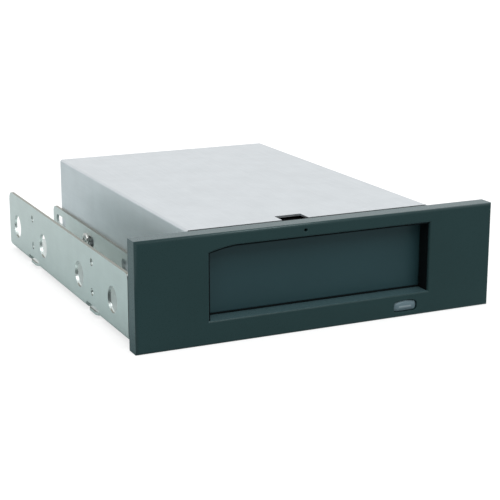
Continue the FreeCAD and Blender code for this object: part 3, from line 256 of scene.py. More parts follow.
def dull_polymer(name, colour, roughness, gloss=0.5):
    """Engineering plastics, such as acetal, nylon and epoxy, the black that paints shade at the
    mouth and the grey that paints the button's highlight: waxy or matt with faint specks."""
    material, tree, at, shader = start_material(name)
    specks = noise(tree, at, size_mm=0.15)
    tint = tinted(tree, specks, colour, darkest=0.9, lightest=1.1)
    coat(tree, shader, tint, specks, roughness, variation=(0.05, 0.05), depth_mm=0.006)
    shader.inputs["Specular IOR Level"].default_value = gloss
    return material


def solder_mask(name, colour):
    """Glass-fibre board under green lacquer: copper tracks show as lighter raised lines, drawn
    wider than real ones so that they can be seen."""
    material, tree, at, shader = start_material(name)
    settings = {"Scale": 1 / (6.0 * MM), "Mortar Size": 0.06, "Brick Width": 0.5,
                "Row Height": 0.25}
    tracks = add_node(tree, "ShaderNodeTexBrick", settings, {"Vector": at}).outputs["Fac"]
    settings = {"data_type": "RGBA", 6: shade(colour, 0.8), 7: shade(colour, 1.7)}
    tint = add_node(tree, "ShaderNodeMix", settings, {0: tracks})
    settings = {"Strength": 1.0, "Distance": 0.03 * MM}
    bump = add_node(tree, "ShaderNodeBump", settings, {"Height": tracks})
    tree.links.new(tint.outputs[2], shader.inputs["Base Color"])
    tree.links.new(bump.outputs["Normal"], shader.inputs["Normal"])
    shader.inputs["Roughness"].default_value = 0.3
    return material


FINISHES = {}


def finish(name):
    """Finish by its name, made once."""
    if name not in FINISHES:
        chosen = bpy.context.scene.drive_finish
        makers = {
            "bezel_grain": lambda: moulded_abs("Moulded ABS bezel", chosen.bezel, 0.3,
                                               sill_painted_light=chosen.sill_painted_light),
            "door_satin": lambda: moulded_abs("Satin ABS door", chosen.door, 0.38,
                                              grain_mm=0.25, depth_mm=0.006),
            "button_satin": lambda: moulded_abs("Satin ABS button", chosen.button, 0.36,
                                                grain_mm=0.2, depth_mm=0.004),
            "frame_nylon": lambda: dull_polymer("Glass-filled nylon", chosen.frame, 0.5),
            "cover_zinc": lambda: zinc_sheet("Zinc-coated cover sheet", chosen.cover, 0.34),
            "tray_zinc": lambda: zinc_sheet("Zinc-coated tray sheet", chosen.tray, 0.38),
            # Darker, slightly brown tone on the upward faces of the upper edges and lobes.
            "bracket_zinc": lambda: zinc_sheet("Zinc-plated bracket sheet", chosen.bracket, 0.36,
                                               darker_upward_tone=srgb("8d8f86")),
            "screw_zinc": lambda: plain_metal("Zinc-plated screw", srgb("c9cbc8"), 0.28),
            "ground_steel": lambda: plain_metal("Ground steel pin", srgb("b9bcbd"), 0.22),
            "spring_wire": lambda: plain_metal("Drawn spring wire", srgb("a5a7a8"), 0.25),
            "motor_can": lambda: plain_metal("Drawn motor can", srgb("a9acac"), 0.35,
                                             mark_mm=0.6),
            "drawn_aluminium": lambda: plain_metal("Drawn aluminium can", srgb("c4c6c8"), 0.3),
            "turned_brass": lambda: plain_metal("Turned brass", srgb("c9a25a"), 0.28),
            "gold_contact": lambda: plain_metal("Gold-flashed contact", srgb("d9b25c"), 0.25),
            "board_lacquer": lambda: solder_mask("Green solder mask", srgb("1d5a38")),
            "epoxy_black": lambda: dull_polymer("Moulded epoxy", srgb("1c1c1e"), 0.5),
            "connector_black": lambda: dull_polymer("Black connector polymer", srgb("17181a"),
                                                    0.42),
            "acetal_natural": lambda: dull_polymer("Natural acetal", srgb("e2dfd4"), 0.4),
            "ferrite_grey": lambda: dull_polymer("Moulded ferrite", srgb("2d2d2f"), 0.6),
            "polyester_film": lambda: dull_polymer("Polyester film", srgb("d8c98c"), 0.3),
            "lamp_epoxy": lambda: dull_polymer("Milky lamp epoxy", srgb("dcdccc"), 0.3),
            # Black that paints shade: the lip, side sheets and strip at the mouth.
            "painted_shade_black": lambda: dull_polymer("Black sealing rubber", srgb("00090c"), 0.9,
                                                gloss=0.2),
            # Paler grey of the bar that paints the button's highlight.
            "painted_glint_grey": lambda: dull_polymer("Frosted light guide", srgb("8c9da3"), 0.3),
        }
        FINISHES[name] = makers[name]()
    return FINISHES[name]


# ---- Pieces ----

def dress(finish_name, *nodes):
    """Gives nodes of the frame one finish."""
    for name in nodes:
        mesh = frame["nodes"][name].data
        mesh.materials.clear()
        mesh.materials.append(finish(finish_name))


def new_piece(name, shape, finish_name, body, replaced=()):
    """Object from a bmesh with its finish, on its body if one is given, hiding the nodes that it
    replaces.
    """
    bmesh.ops.remove_doubles(shape, verts=shape.verts, dist=MERGE)
    bmesh.ops.recalc_face_normals(shape, faces=shape.faces)
    mesh = bpy.data.meshes.new(name)
    shape.to_mesh(mesh)
    shape.free()
    mesh.materials.append(finish(finish_name))
    piece = bpy.data.objects.new(name, mesh)
    bpy.context.scene.collection.objects.link(piece)
    if body:
        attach(piece, body)
    if replaced:
        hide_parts(*replaced)
    return piece


def add_prism(shape, centre, size, bevel):
    """Block with bevelled edges, from its centre and size."""
    matrix = Matrix.Translation(centre) @ Matrix.Diagonal((*size, 1.0))
    made = bmesh.ops.create_cube(shape, size=1.0, matrix=matrix)
    edges = list({edge for vert in made["verts"] for edge in vert.link_edges})
    bmesh.ops.bevel(shape, geom=edges, offset=bevel, affect="EDGES", segments=2, profile=0.5,
                    material=-1)


def copied(node, merge):
    """Copy of a node's mesh with the points joined that its faces share."""
    shape = bmesh.new()
    shape.from_mesh(frame["nodes"][node].data)
    bmesh.ops.remove_doubles(shape, verts=shape.verts, dist=merge)
    return shape


def flattened(node):
    """Copy of a node's mesh with its triangles joined into flat faces."""
    shape = copied(node, COPY_MERGE)
    bmesh.ops.dissolve_limit(shape, angle_limit=FLAT_ANGLE, verts=shape.verts, edges=shape.edges)
    return shape


def bent_spring(name, node):
    """Copy of a spring's wire in place of its node, shaded smooth but for its sharp edges, with its
    place baked into the mesh."""
    wire = copied(node, MERGE)
    for face in wire.faces:
        face.smooth = True
    for edge in wire.edges:
        edge.smooth = edge.calc_face_angle(0.0) < SMOOTH_ANGLE
    spring = new_piece(name, wire, "spring_wire", None, [node])
    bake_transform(spring)


def joined(start):
    """Set of the vertices that edges join to one vertex."""
    found, front = {start}, [start]
    while front:
        vert = front.pop()
        for edge in vert.link_edges:
            other = edge.other_vert(vert)
            if other not in found:
                found.add(other)
                front.append(other)
    return found


# ---- Settings ----

DARK_ROOM = 0.25


class DriveFinish(bpy.types.PropertyGroup):
    """Colours of the drive's main finishes"""
    bezel: FloatVectorProperty(
        name="Bezel", description="Colour of the moulded bezel", subtype="COLOR", size=4,
        default=srgb("1d3637"), min=0, max=1)
    # Paler colour painted on the sill's upward faces as light.
    sill_painted_light: FloatVectorProperty(
        name="Sill painted light", description="Colour painted as light on the sill's upward faces", subtype="COLOR",
        size=4, default=srgb("3a5154"), min=0, max=1)
    door: FloatVectorProperty(
        name="Door", description="Colour of the dust door", subtype="COLOR", size=4,
        default=srgb("243f44"), min=0, max=1)
    button: FloatVectorProperty(
        name="Button", description="Colour of the eject button", subtype="COLOR", size=4,
        default=srgb("647880"), min=0, max=1)
    frame: FloatVectorProperty(
        name="Bay frame", description="Colour of the black mouldings", subtype="COLOR", size=4,
        default=srgb("15181a"), min=0, max=1)
    cover: FloatVectorProperty(
        name="Cover", description="Colour of the cover's sheet", subtype="COLOR", size=4,
        default=srgb("d3d9dd"), min=0, max=1)
    tray: FloatVectorProperty(
        name="Tray", description="Colour of the tray's sheet", subtype="COLOR", size=4,
        default=srgb("c3cccc"), min=0, max=1)
    bracket: FloatVectorProperty(
        name="Bracket", description="Colour of the bracket's sheet", subtype="COLOR", size=4,
        default=srgb("d1dad8"), min=0, max=1)


class DriveDetail(bpy.types.PropertyGroup):
    """Sizes of the fine parts"""
    mouth_round: FloatProperty(
        name="Mouth edge", description="Rounding of the mouth's front edge",
        default=0.6 * MM, min=0.1 * MM, max=MM, unit="LENGTH", precision=5)
    hole_round: FloatProperty(
        name="Hole edge", description="Rounding of the button's aperture and the pinhole",
        default=0.2 * MM, min=0.05 * MM, max=0.4 * MM, unit="LENGTH", precision=5)
    button_crown: FloatProperty(
        name="Button crown", description="How far the button's face swells forward",
        default=0.5 * MM, min=0.1 * MM, max=MM, unit="LENGTH", precision=5)
    # Width of the black lip that paints a shade line round the mouth.
    lip_width: FloatProperty(
        name="Shade lip", description="Width of the lip that paints a shade line round the mouth",
        default=0.5 * MM, min=0.1 * MM, max=MM, unit="LENGTH", precision=5)
    recess_share: FloatProperty(
        name="Recess share", description="Width of a cross recess, as a share of the head's radius",
        default=0.3, min=0.1, max=0.6)
    contact_pitch: FloatProperty(
        name="Contact pitch", description="Distance between connector contacts",
        default=1.27 * MM, min=0.5 * MM, max=3 * MM, unit="LENGTH", precision=5)
    contact_width: FloatProperty(
        name="Contact width", description="Width of a connector contact",
        default=0.6 * MM, min=0.2 * MM, max=2 * MM, unit="LENGTH", precision=5)


class DriveStage(bpy.types.PropertyGroup):
    """Camera, lamps and floor"""
    lens: FloatProperty(
        name="Lens", description="Focal length on a 36 mm wide sensor", default=97.34, min=20,
        max=300, unit="CAMERA")
    azimuth: FloatProperty(
        name="Azimuth", description="Camera's turn round the drive from its front",
        default=math.radians(-25.25), subtype="ANGLE")
    elevation: FloatProperty(
        name="Elevation", description="Camera's angle above the floor",
        default=math.radians(14.65), subtype="ANGLE")
    roll: FloatProperty(
        name="Roll", description="Camera's tilt about its own line of sight",
        default=math.radians(-0.061), subtype="ANGLE")
    top_lamp: FloatProperty(
        name="Top lamp", description="Power of the large lamp overhead", default=3.2, min=0,
        max=200, unit="POWER")
    side_lamp: FloatProperty(
        name="Side lamp", description="Power of the lamp on the left", default=0.6, min=0,
        max=200, unit="POWER")
    front_lamp: FloatProperty(
        name="Front lamp", description="Power of the lamp high in front", default=6.0, min=0,
        max=200, unit="POWER")
    sky: FloatProperty(
        name="Surroundings", description="Strength of the even light all round", default=0.5,
        min=0, max=2)
    dark_room: FloatProperty(
        name="Dark room", description="Brightness reflected from the room in front",
        default=DARK_ROOM, min=0, max=1)


# ---- Housing ----

class DRIVE_OT_housing(bpy.types.Operator):
    """Finish the folded cover and tray"""
    bl_idname = "drive.housing"
    bl_label = "Housing"

    def execute(self, context):
        dress("cover_zinc", "top_cover")
        dress("tray_zinc", "bottom_tray", "guide_plate", "rod_clips")
        return {"FINISHED"}


# ---- Bezel, door and button ----

# From the button's middle up to between its aperture and the mouth, and the height of a line
# between the mouth and the pinhole.
ABOVE_BUTTON = 3.2 * MM
BELOW_PINHOLE = 37.5 * MM
# The depth of the black lip that paints a shade line along the mouth, and how much of it is sunk
# into the wall, as multiples of its width.
LIP_DEPTH = 2
LIP_ROOT = 0.2
# The thickness of the black sheets that paint shade on the mouth's side walls and their gap to the
# door, and the play of the black strips over the sill.
LINER = 0.4 * MM
SHADE_PIECE_PLAY = 0.1 * MM
# The depth of the black strip that paints the shade line on the door's lower edge, how far its
# middle stands before the door, and its height as a multiple of the lip's width.
SILL_SHADE_STRIP_DEPTH = 0.5 * MM
SILL_SHADE_STRIP_PROUD = 0.05 * MM
SILL_SHADE_STRIP_HEIGHT = 1.3
# Points this near the plain cap's face belong to it.
CAP_DEPTH = 0.35 * MM
# Steps of the button's face towards its crown: inset, and rise as a share of the crown.
CROWN_STEPS = ((0.4 * MM, 0.5), (0.45 * MM, 0.25), (0.5 * MM, 0.12))
# Size of the paler bar that paints a highlight on the button, and how far its middle lies behind
# the plain cap's face.
PAINTED_GLINT = (5.6 * MM, 0.5 * MM, 0.7 * MM)
PAINTED_GLINT_DEPTH = 0.27 * MM


def sharp_front_edges(shape, front, low, high):
    """Edges in the front plane, between two corners of a region, that drop into an opening."""
    chosen = []
    for edge in shape.edges:
        ends = [vert.co for vert in edge.verts]
        if any(abs(end.y - front) > ON_PLANE for end in ends) or len(edge.link_faces) != 2:
            continue
        if not all(low[0] <= end.x <= high[0] and low[1] <= end.z <= high[1] for end in ends):
            continue
        turns = [abs(face.normal.y) for face in edge.link_faces]
        if max(turns) > ALONG and min(turns) < ACROSS:
            chosen.append(edge)
    return chosen


def rounded(shape, edges, radius, segments):
    """Rounds edges of a moulding."""
    bmesh.ops.bevel(shape, geom=edges, offset=radius, offset_type="OFFSET", affect="EDGES",
                    segments=segments, profile=0.5, material=-1, clamp_overlap=False)


class DRIVE_OT_bezel(bpy.types.Operator):
    """Make the bezel with rounded openings and the crowned eject button, and finish the door"""
    bl_idname = "drive.bezel"
    bl_label = "Bezel, door and button"

    def execute(self, context):
        detail = context.scene.drive_detail
        dress("door_satin", "dust_door")
        dress("ground_steel", "door_hinge_pins")
        dress("connector_black", "switch_plunger", "eject_switch")
        dress("lamp_epoxy", "button_led")
        self.make_spring()
        low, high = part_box("front_bezel")
        button_low, button_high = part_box("eject_button")
        shape = flattened("front_bezel")
        middle = (button_low.z + button_high.z) / 2 + ABOVE_BUTTON
        mouth = sharp_front_edges(shape, low.y, (low.x, middle), (high.x, BELOW_PINHOLE))
        corners = {tuple(vert.co) for edge in mouth for vert in edge.verts}
        rounded(shape, mouth, detail.mouth_round, segments=3)
        holes = sharp_front_edges(shape, low.y, (low.x, low.z), (high.x, middle))
        holes += sharp_front_edges(shape, low.y, (low.x, BELOW_PINHOLE), (high.x, high.z))
        rounded(shape, holes, detail.hole_round, segments=2)
        new_piece("bezel_moulding", shape, "bezel_grain", "housing",
                  ["front_bezel"])
        self.make_shade_pieces(detail, [Vector(corner) for corner in corners])
        self.make_button(detail, button_low)
        return {"FINISHED"}

    def make_spring(self):
        """Torsion spring with one leg on the door and one under the cover."""
        bent_spring("door_spring_wire", "door_spring")

    def make_shade_pieces(self, detail, corners):
        """Black lip that paints a shade line along the mouth's left and upper edges, black sheets
        that paint shade on its side walls, and a black strip that paints the shade line on the
        door's lower edge."""
        left = min(corner.x for corner in corners)
        right = max(corner.x for corner in corners)
        sill = min(corner.z for corner in corners)
        top = max(corner.z for corner in corners)
        rising = sorted((corner for corner in corners if corner.x < left + ON_PLANE),
                        key=lambda corner: corner.z)
        upper = sorted((corner for corner in corners
                        if corner.x > left + ON_PLANE and corner.z > sill + MM),
                       key=lambda corner: corner.x)
        self.make_lip(detail, rising + upper)

        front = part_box("dust_door")[0].y
        near = rising[0].y + 2 * detail.mouth_round
        depth = front - LINER - near
        # Black sheets on the mouth's side walls paint the shade there.
        liner = bmesh.new()
        for wall, high in ((left, rising[-1].z), (right, top)):
            place = Vector((wall, near + depth / 2, (sill + high) / 2))
            size = (LINER, depth, high - sill - SHADE_PIECE_PLAY)
            add_prism(liner, place, size, bevel=0.08 * MM)
        new_piece("mouth_liner", liner, "painted_shade_black", "housing")

        # Black strip on the door's lower edge paints the shade line over the sill.
        sill_shade_strip = bmesh.new()
        size = (right - left - LINER, SILL_SHADE_STRIP_DEPTH, SILL_SHADE_STRIP_HEIGHT * detail.lip_width)
        place = Vector(((left + right) / 2, front - SILL_SHADE_STRIP_PROUD, sill + SHADE_PIECE_PLAY + size[2] / 2))
        add_prism(sill_shade_strip, place, size, bevel=0.1 * MM)
        new_piece("door_wiper", sill_shade_strip, "painted_shade_black", "door")

    def make_lip(self, detail, line):
        """Black strip that stands out of the mouth's wall, along a line of its corners, and paints
        a shade line there.
        """
        shape = bmesh.new()
        rows = []
        for i, corner in enumerate(line):
            ahead = line[min(i + 1, len(line) - 1)] - corner
            behind = corner - line[max(i - 1, 0)]
            run = (ahead.normalized() + behind.normalized()).normalized()
            inward = Vector((run.z, 0, -run.x)) * detail.lip_width
            start = corner + Vector((0, detail.mouth_round, 0))
            ends = (start - inward * LIP_ROOT, start + inward)
            rows.append([shape.verts.new(end) for end in ends])
        faces = [shape.faces.new((a[0], b[0], b[1], a[1])) for a, b in zip(rows, rows[1:])]
        made = bmesh.ops.extrude_face_region(shape, geom=faces)["geom"]
        back = [item for item in made if isinstance(item, bmesh.types.BMVert)]
        bmesh.ops.translate(shape, verts=back, vec=(0, LIP_DEPTH * detail.lip_width, 0))
        new_piece("dust_lip", shape, "painted_shade_black", "housing")

    def make_button(self, detail, low):
        """Cap whose face is set back and then swells to a crown, and the paler bar on it that
        paints a highlight.
        """
        shape = flattened("eject_button")
        front = [vert for vert in shape.verts if vert.co.y < low.y + CAP_DEPTH]
        bmesh.ops.translate(shape, verts=front, vec=(0, detail.button_crown, 0))
        faces = [face for face in shape.faces
                 if face.normal.y < -ALONG and face.calc_center_median().y < low.y + MM]
        cap = max(faces, key=lambda face: face.calc_area())
        centre = cap.calc_center_median()
        xs, zs = zip(*((vert.co.x, vert.co.z) for vert in cap.verts))
        wide, tall = (max(xs) - min(xs)) / 2, (max(zs) - min(zs)) / 2
        for inset, share in CROWN_STEPS:
            scale = Matrix.Diagonal((1 - inset / wide, 1, 1 - inset / tall, 1))
            cap = bmesh.ops.extrude_discrete_faces(shape, faces=[cap])["faces"][0]
            bmesh.ops.transform(shape, matrix=scale, space=Matrix.Translation(-centre),
                                verts=cap.verts)
            bmesh.ops.translate(shape, verts=cap.verts, vec=(0, -share * detail.button_crown, 0))
            wide, tall = wide - inset, tall - inset
        new_piece("button_moulding", shape, "button_satin", "button",
                  ["eject_button"])
        # Paler bar on the button paints its highlight.
        bar = bmesh.new()
        place = Vector((centre.x, low.y + PAINTED_GLINT_DEPTH, centre.z))
        add_prism(bar, place, PAINTED_GLINT, bevel=0.12 * MM)
        new_piece("button_light_bar", bar, "painted_glint_grey", "button")


# ---- Brackets and screws ----

class DRIVE_OT_brackets(bpy.types.Operator):
    """Finish the side brackets"""
    bl_idname = "drive.brackets"
    bl_label = "Side brackets"

    def execute(self, context):
        dress("bracket_zinc", "left_bracket", "right_bracket")
        return {"FINISHED"}


# Piece, node, axis of its screws and number of faces round each.
SCREWS = (("bracket_screws_left_cut", "bracket_screws_left", 0, 32),
          ("bracket_screws_right_cut", "bracket_screws_right", 0, 32),
          ("bay_screws_cut", "bay_screws", 2, 24),
          ("guide_plate_screws_cut", "guide_plate_screws", 2, 20),
          ("board_screws_cut", "board_screws", 2, 20),
          ("backplane_screws_cut", "backplane_screws", 1, 20),
          ("gearbox_screws_cut", "gearbox_screws", 1, 20))
# Points farther out than the first share of the head's radius are on its rim, and points nearer
# than the second are on the shank.
HEAD_RIM = 0.9
SHANK_LIMIT = 0.72
# Outline of a domed head from its seat to its crown: shares of its radius and height.
HEAD_OUTLINE = ((1.0, 0.0), (1.0, 0.4), (0.95, 0.7), (0.78, 0.9), (0.5, 0.98), (0.0, 1.0))
TIP_CHAMFER = 0.3 * MM
# A cross recess: its length as a share of the head's radius, its tool's height as a share of the
# head's, where the tool starts to narrow, by how much, and the angle that the screw stopped at.
RECESS_LENGTH = 1.25
RECESS_TOOL = 1.3
RECESS_NARROWS = 0.5
RECESS_TAPER = 0.55
RECESS_TURN = math.radians(25)


def separate_solids(shape):
    """Points of each group of vertices that edges join."""
    left = set(shape.verts)
    groups = []
    while left:
        group = joined(next(iter(left)))
        left -= group
        groups.append([vert.co.copy() for vert in group])
    return groups


def screw_shape(points, axis):
    """Seat of the head, outward direction, radii and lengths of a plain screw, from its points."""
    lows = Vector([min(point[i] for point in points) for i in range(3)])
    highs = Vector([max(point[i] for point in points) for i in range(3)])
    middle = (lows + highs) / 2
    others = [i for i in range(3) if i != axis]
    reach = [math.hypot(*(point[i] - middle[i] for i in others)) for point in points]
    head_radius = max(reach)
    rim = [point[axis] for point, far in zip(points, reach) if far > HEAD_RIM * head_radius]
    shank_radius = max(far for far in reach if far < SHANK_LIMIT * head_radius)
    sign = 1 if sum(rim) / len(rim) > middle[axis] else -1
    outward = Vector([sign if i == axis else 0 for i in range(3)])
    top, tip = (highs[axis], lows[axis]) if sign > 0 else (lows[axis], highs[axis])
    seat = min(rim) if sign > 0 else max(rim)
    middle[axis] = seat
    return middle, outward, head_radius, shank_radius, abs(top - seat), abs(tip - seat)


def add_screw(shape, place, head, shank, height, length, steps):
    """Pan-head screw with a domed head and a chamfered tip, spun round its axis and placed by the
    seat of its head."""
    tip = min(TIP_CHAMFER, length / 4)
    profile = [(0, -length), (shank - tip, -length), (shank, tip - length), (shank, 0)]
    profile += [(radius * head, share * height) for radius, share in HEAD_OUTLINE]
    verts = [shape.verts.new((radius, 0, z)) for radius, z in profile]
    edges = [shape.edges.new(pair) for pair in zip(verts, verts[1:])]
    bmesh.ops.spin(shape, geom=verts + edges, axis=UP, cent=(0, 0, 0), angle=2 * math.pi,
                   steps=steps, use_merge=True)
    bmesh.ops.transform(shape, matrix=place, verts=list(joined(verts[0])))


def cut_away(piece, cutters):
    """Cuts shapes out of a piece, one after another."""
    collection = bpy.context.scene.collection
    for shape in cutters:
        mesh = bpy.data.meshes.new("cutter")
        shape.to_mesh(mesh)
        shape.free()
        cutter = bpy.data.objects.new("cutter", mesh)
        collection.objects.link(cutter)
        modifier = piece.modifiers.new("recess", "BOOLEAN")
        modifier.object = cutter
        modifier.operation = "DIFFERENCE"
        modifier.solver = "EXACT"
        bpy.context.view_layer.update()
        graph = bpy.context.evaluated_depsgraph_get()
        result = bpy.data.meshes.new_from_object(piece.evaluated_get(graph))
        piece.modifiers.clear()
        piece.data = result
        bpy.data.objects.remove(cutter)


def recessed_screws(name, node, axis, steps, recess_share):
    """Screws with domed heads and cross recesses in place of a node's plain ones."""
    source = copied(node, COPY_MERGE)
    solids = separate_solids(source)
    source.free()
    shape = bmesh.new()
    cutters = [bmesh.new(), bmesh.new()]
    for points in sorted(solids, key=lambda solid: tuple(min(solid, key=tuple))):
        seat, outward, head, shank, height, length = screw_shape(points, axis)
        turn = UP.rotation_difference(outward).to_matrix().to_4x4()
        add_screw(shape, Matrix.Translation(seat) @ turn, head, shank, height, length, steps)
        crown = Matrix.Translation(seat + outward * height) @ turn
        crown = crown @ Matrix.Rotation(RECESS_TURN, 4, "Z")
        wide, narrow = RECESS_LENGTH * head, recess_share * head
        for cutter, size in zip(cutters, ((wide, narrow), (narrow, wide))):
            made = bmesh.ops.create_cube(cutter, size=1.0)
            scale = Matrix.Diagonal((*size, RECESS_TOOL * height, 1.0))
            bmesh.ops.transform(cutter, matrix=crown @ scale, verts=made["verts"])
            for vert in made["verts"]:
                depth = (vert.co - seat).dot(outward)
                if depth < RECESS_NARROWS * height:
                    axle = seat + outward * depth
                    vert.co = axle + (vert.co - axle) * RECESS_TAPER
    piece = new_piece(name, shape, "screw_zinc", "housing", [node])
    cut_away(piece, cutters)


class DRIVE_OT_screws(bpy.types.Operator):
    """Make the screws with domed heads and cross recesses"""
    bl_idname = "drive.screws"
    bl_label = "Screws"

    def execute(self, context):
        for name, node, axis, steps in SCREWS:
            recessed_screws(name, node, axis, steps, context.scene.drive_detail.recess_share)
        return {"FINISHED"}


# ---- Bay, boards, connectors and ejector ----

class DRIVE_OT_bay(bpy.types.Operator):
    """Finish the cartridge bay and the parts over it, and make the latch's spring"""
    bl_idname = "drive.bay"
    bl_label = "Cartridge bay"

    def execute(self, context):
        dress("frame_nylon", "cartridge_bay", "gearbox_frame", "release_rod", "latch_lever")
        dress("ground_steel", "latch_pivot")
        bent_spring("latch_spring_wire", "latch_spring")
        return {"FINISHED"}


class DRIVE_OT_boards(bpy.types.Operator):
    """Finish the boards and what stands on them"""
    bl_idname = "drive.boards"
    bl_label = "Circuit boards"

    def execute(self, context):
        dress("board_lacquer", "main_board", "backplane_board")
        dress("polyester_film", "insulator_sheet", "flex_cable")
        dress("ground_steel", "board_standoffs")
        dress("epoxy_black", "bridge_chip", "memory_chips")
        dress("drawn_aluminium", "board_capacitors")
        dress("ferrite_grey", "power_coil")
        dress("connector_black", "flex_sockets")
        return {"FINISHED"}


# Room at both ends of a row of contacts together, room in front of it, and half of the tongue's
# thickness.
ROW_ENDS = 7 * MM
CONTACT_INSET = 0.9 * MM
HALF_TONGUE = 0.6 * MM
# A contact's length and thickness, and how far its middle lies under the tongue's face.
CONTACT_LENGTH = 3.6 * MM
CONTACT_THICKNESS = 0.12 * MM
CONTACT_DROP = 0.04 * MM


def contact_row(name, node, opens_rearward, detail):
    """Gold contacts along the lower face of a connector's tongue."""
    low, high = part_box(node)
    count = int((high.x - low.x - ROW_ENDS) / detail.contact_pitch)
    middle = (low + high) / 2
    if opens_rearward:
        y = high.y - CONTACT_INSET - CONTACT_LENGTH / 2
    else:
        y = low.y + CONTACT_INSET + CONTACT_LENGTH / 2
    z = middle.z - HALF_TONGUE - CONTACT_DROP
    size = (detail.contact_width, CONTACT_LENGTH, CONTACT_THICKNESS)
    shape = bmesh.new()
    for i in range(count):
        x = middle.x + (i - (count - 1) / 2) * detail.contact_pitch
        add_prism(shape, Vector((x, y, z)), size, bevel=0.03 * MM)
    new_piece(name, shape, "gold_contact", "housing")


class DRIVE_OT_connectors(bpy.types.Operator):
    """Finish the connectors and make their gold contacts"""
    bl_idname = "drive.connectors"
    bl_label = "Connectors"

    def execute(self, context):
        detail = context.scene.drive_detail
        dress("connector_black", "host_connector", "cartridge_connector")
        contact_row("host_contacts", "host_connector", True, detail)
        contact_row("cartridge_contacts", "cartridge_connector", False, detail)
        return {"FINISHED"}


class DRIVE_OT_ejector(bpy.types.Operator):
    """Finish the motor, gears and slide"""
    bl_idname = "drive.ejector"
    bl_label = "Ejector"

    def execute(self, context):
        dress("acetal_natural", "drive_gear", "reduction_gear", "ejector_slide")
        dress("turned_brass", "motor_pinion")
        dress("ground_steel", "motor_shaft", "gear_axles")
        dress("motor_can", "eject_motor")
        dress("connector_black", "slide_switch")
        return {"FINISHED"}


# ---- Stage ----

# Camera, from the middle of the bezel's lower front edge.
CAMERA_PLACE = Vector((-231.51, -426.50, 157.26)) * MM
# Lamp, its place and the width of its square face, in metres. All face the drive's middle.
LAMPS = (("top_lamp", (0.0, 0.15, 0.9), 1.2), ("side_lamp", (-0.9, 0.1, 0.45), 0.8),
         ("front_lamp", (0.1, -0.8, 0.9), 0.7))
LAMP_TARGET = Vector((0, 0, 0.02))
FLOOR_HALF_WIDTH = 6.0
# How much brighter the room in front is reflected than the setting for it.
ROOM_GLOW = 2.4
MIRROR_GLOW = 0.05


def by_ray(tree, matt, mirrored, direct):
    """Shader that differs by what looks at it: a matt surface, a reflection, or the camera and
    glass."""
    path = add_node(tree, "ShaderNodeLightPath").outputs
    links = {0: path["Is Camera Ray"], 1: path["Is Transmission Ray"]}
    clear = add_node(tree, "ShaderNodeMath", {"operation": "MAXIMUM"}, links)
    links = {0: path["Is Glossy Ray"], 1: matt.outputs[0], 2: mirrored.outputs[0]}
    glossy = add_node(tree, "ShaderNodeMixShader", None, links)
    links = {0: clear.outputs["Value"], 1: glossy.outputs[0], 2: direct.outputs[0]}
    return add_node(tree, "ShaderNodeMixShader", None, links).outputs[0]


def studio_world(strength, dark_room):
    """White backdrop for the camera, for glass and for metal that mirrors what is behind the
    drive. In reflections it is darker in front of the drive and overhead, and the light on matt
    surfaces is even and dimmer."""
    world = bpy.data.worlds.new("Studio")
    bpy.context.scene.world = world
    world.use_nodes = True
    tree = world.node_tree
    tree.nodes.clear()
    direction = add_node(tree, "ShaderNodeTexCoord").outputs["Generated"]
    parts = add_node(tree, "ShaderNodeSeparateXYZ", None, {"Vector": direction}).outputs
    settings = {"From Min": -0.35, "From Max": 0.35, "To Min": ROOM_GLOW * dark_room,
                "To Max": 1.0}
    rearward = add_node(tree, "ShaderNodeMapRange", settings, {"Value": parts["Y"]})
    settings = {"From Min": 0.4, "From Max": 0.8, "To Min": 1.0, "To Max": 0.45}
    overhead = add_node(tree, "ShaderNodeMapRange", settings, {"Value": parts["Z"]})
    links = {0: rearward.outputs["Result"], 1: overhead.outputs["Result"]}
    mirrored = add_node(tree, "ShaderNodeMath", {"operation": "MULTIPLY"}, links)
    around = add_node(tree, "ShaderNodeBackground", {"Color": WHITE, "Strength": strength})
    backdrop = add_node(tree, "ShaderNodeBackground", {"Color": WHITE},
                        {"Strength": mirrored.outputs["Value"]})
    white = add_node(tree, "ShaderNodeBackground", {"Color": WHITE, "Strength": 1.0})
    links = {"Surface": by_ray(tree, around, backdrop, white)}
    add_node(tree, "ShaderNodeOutputWorld", None, links)


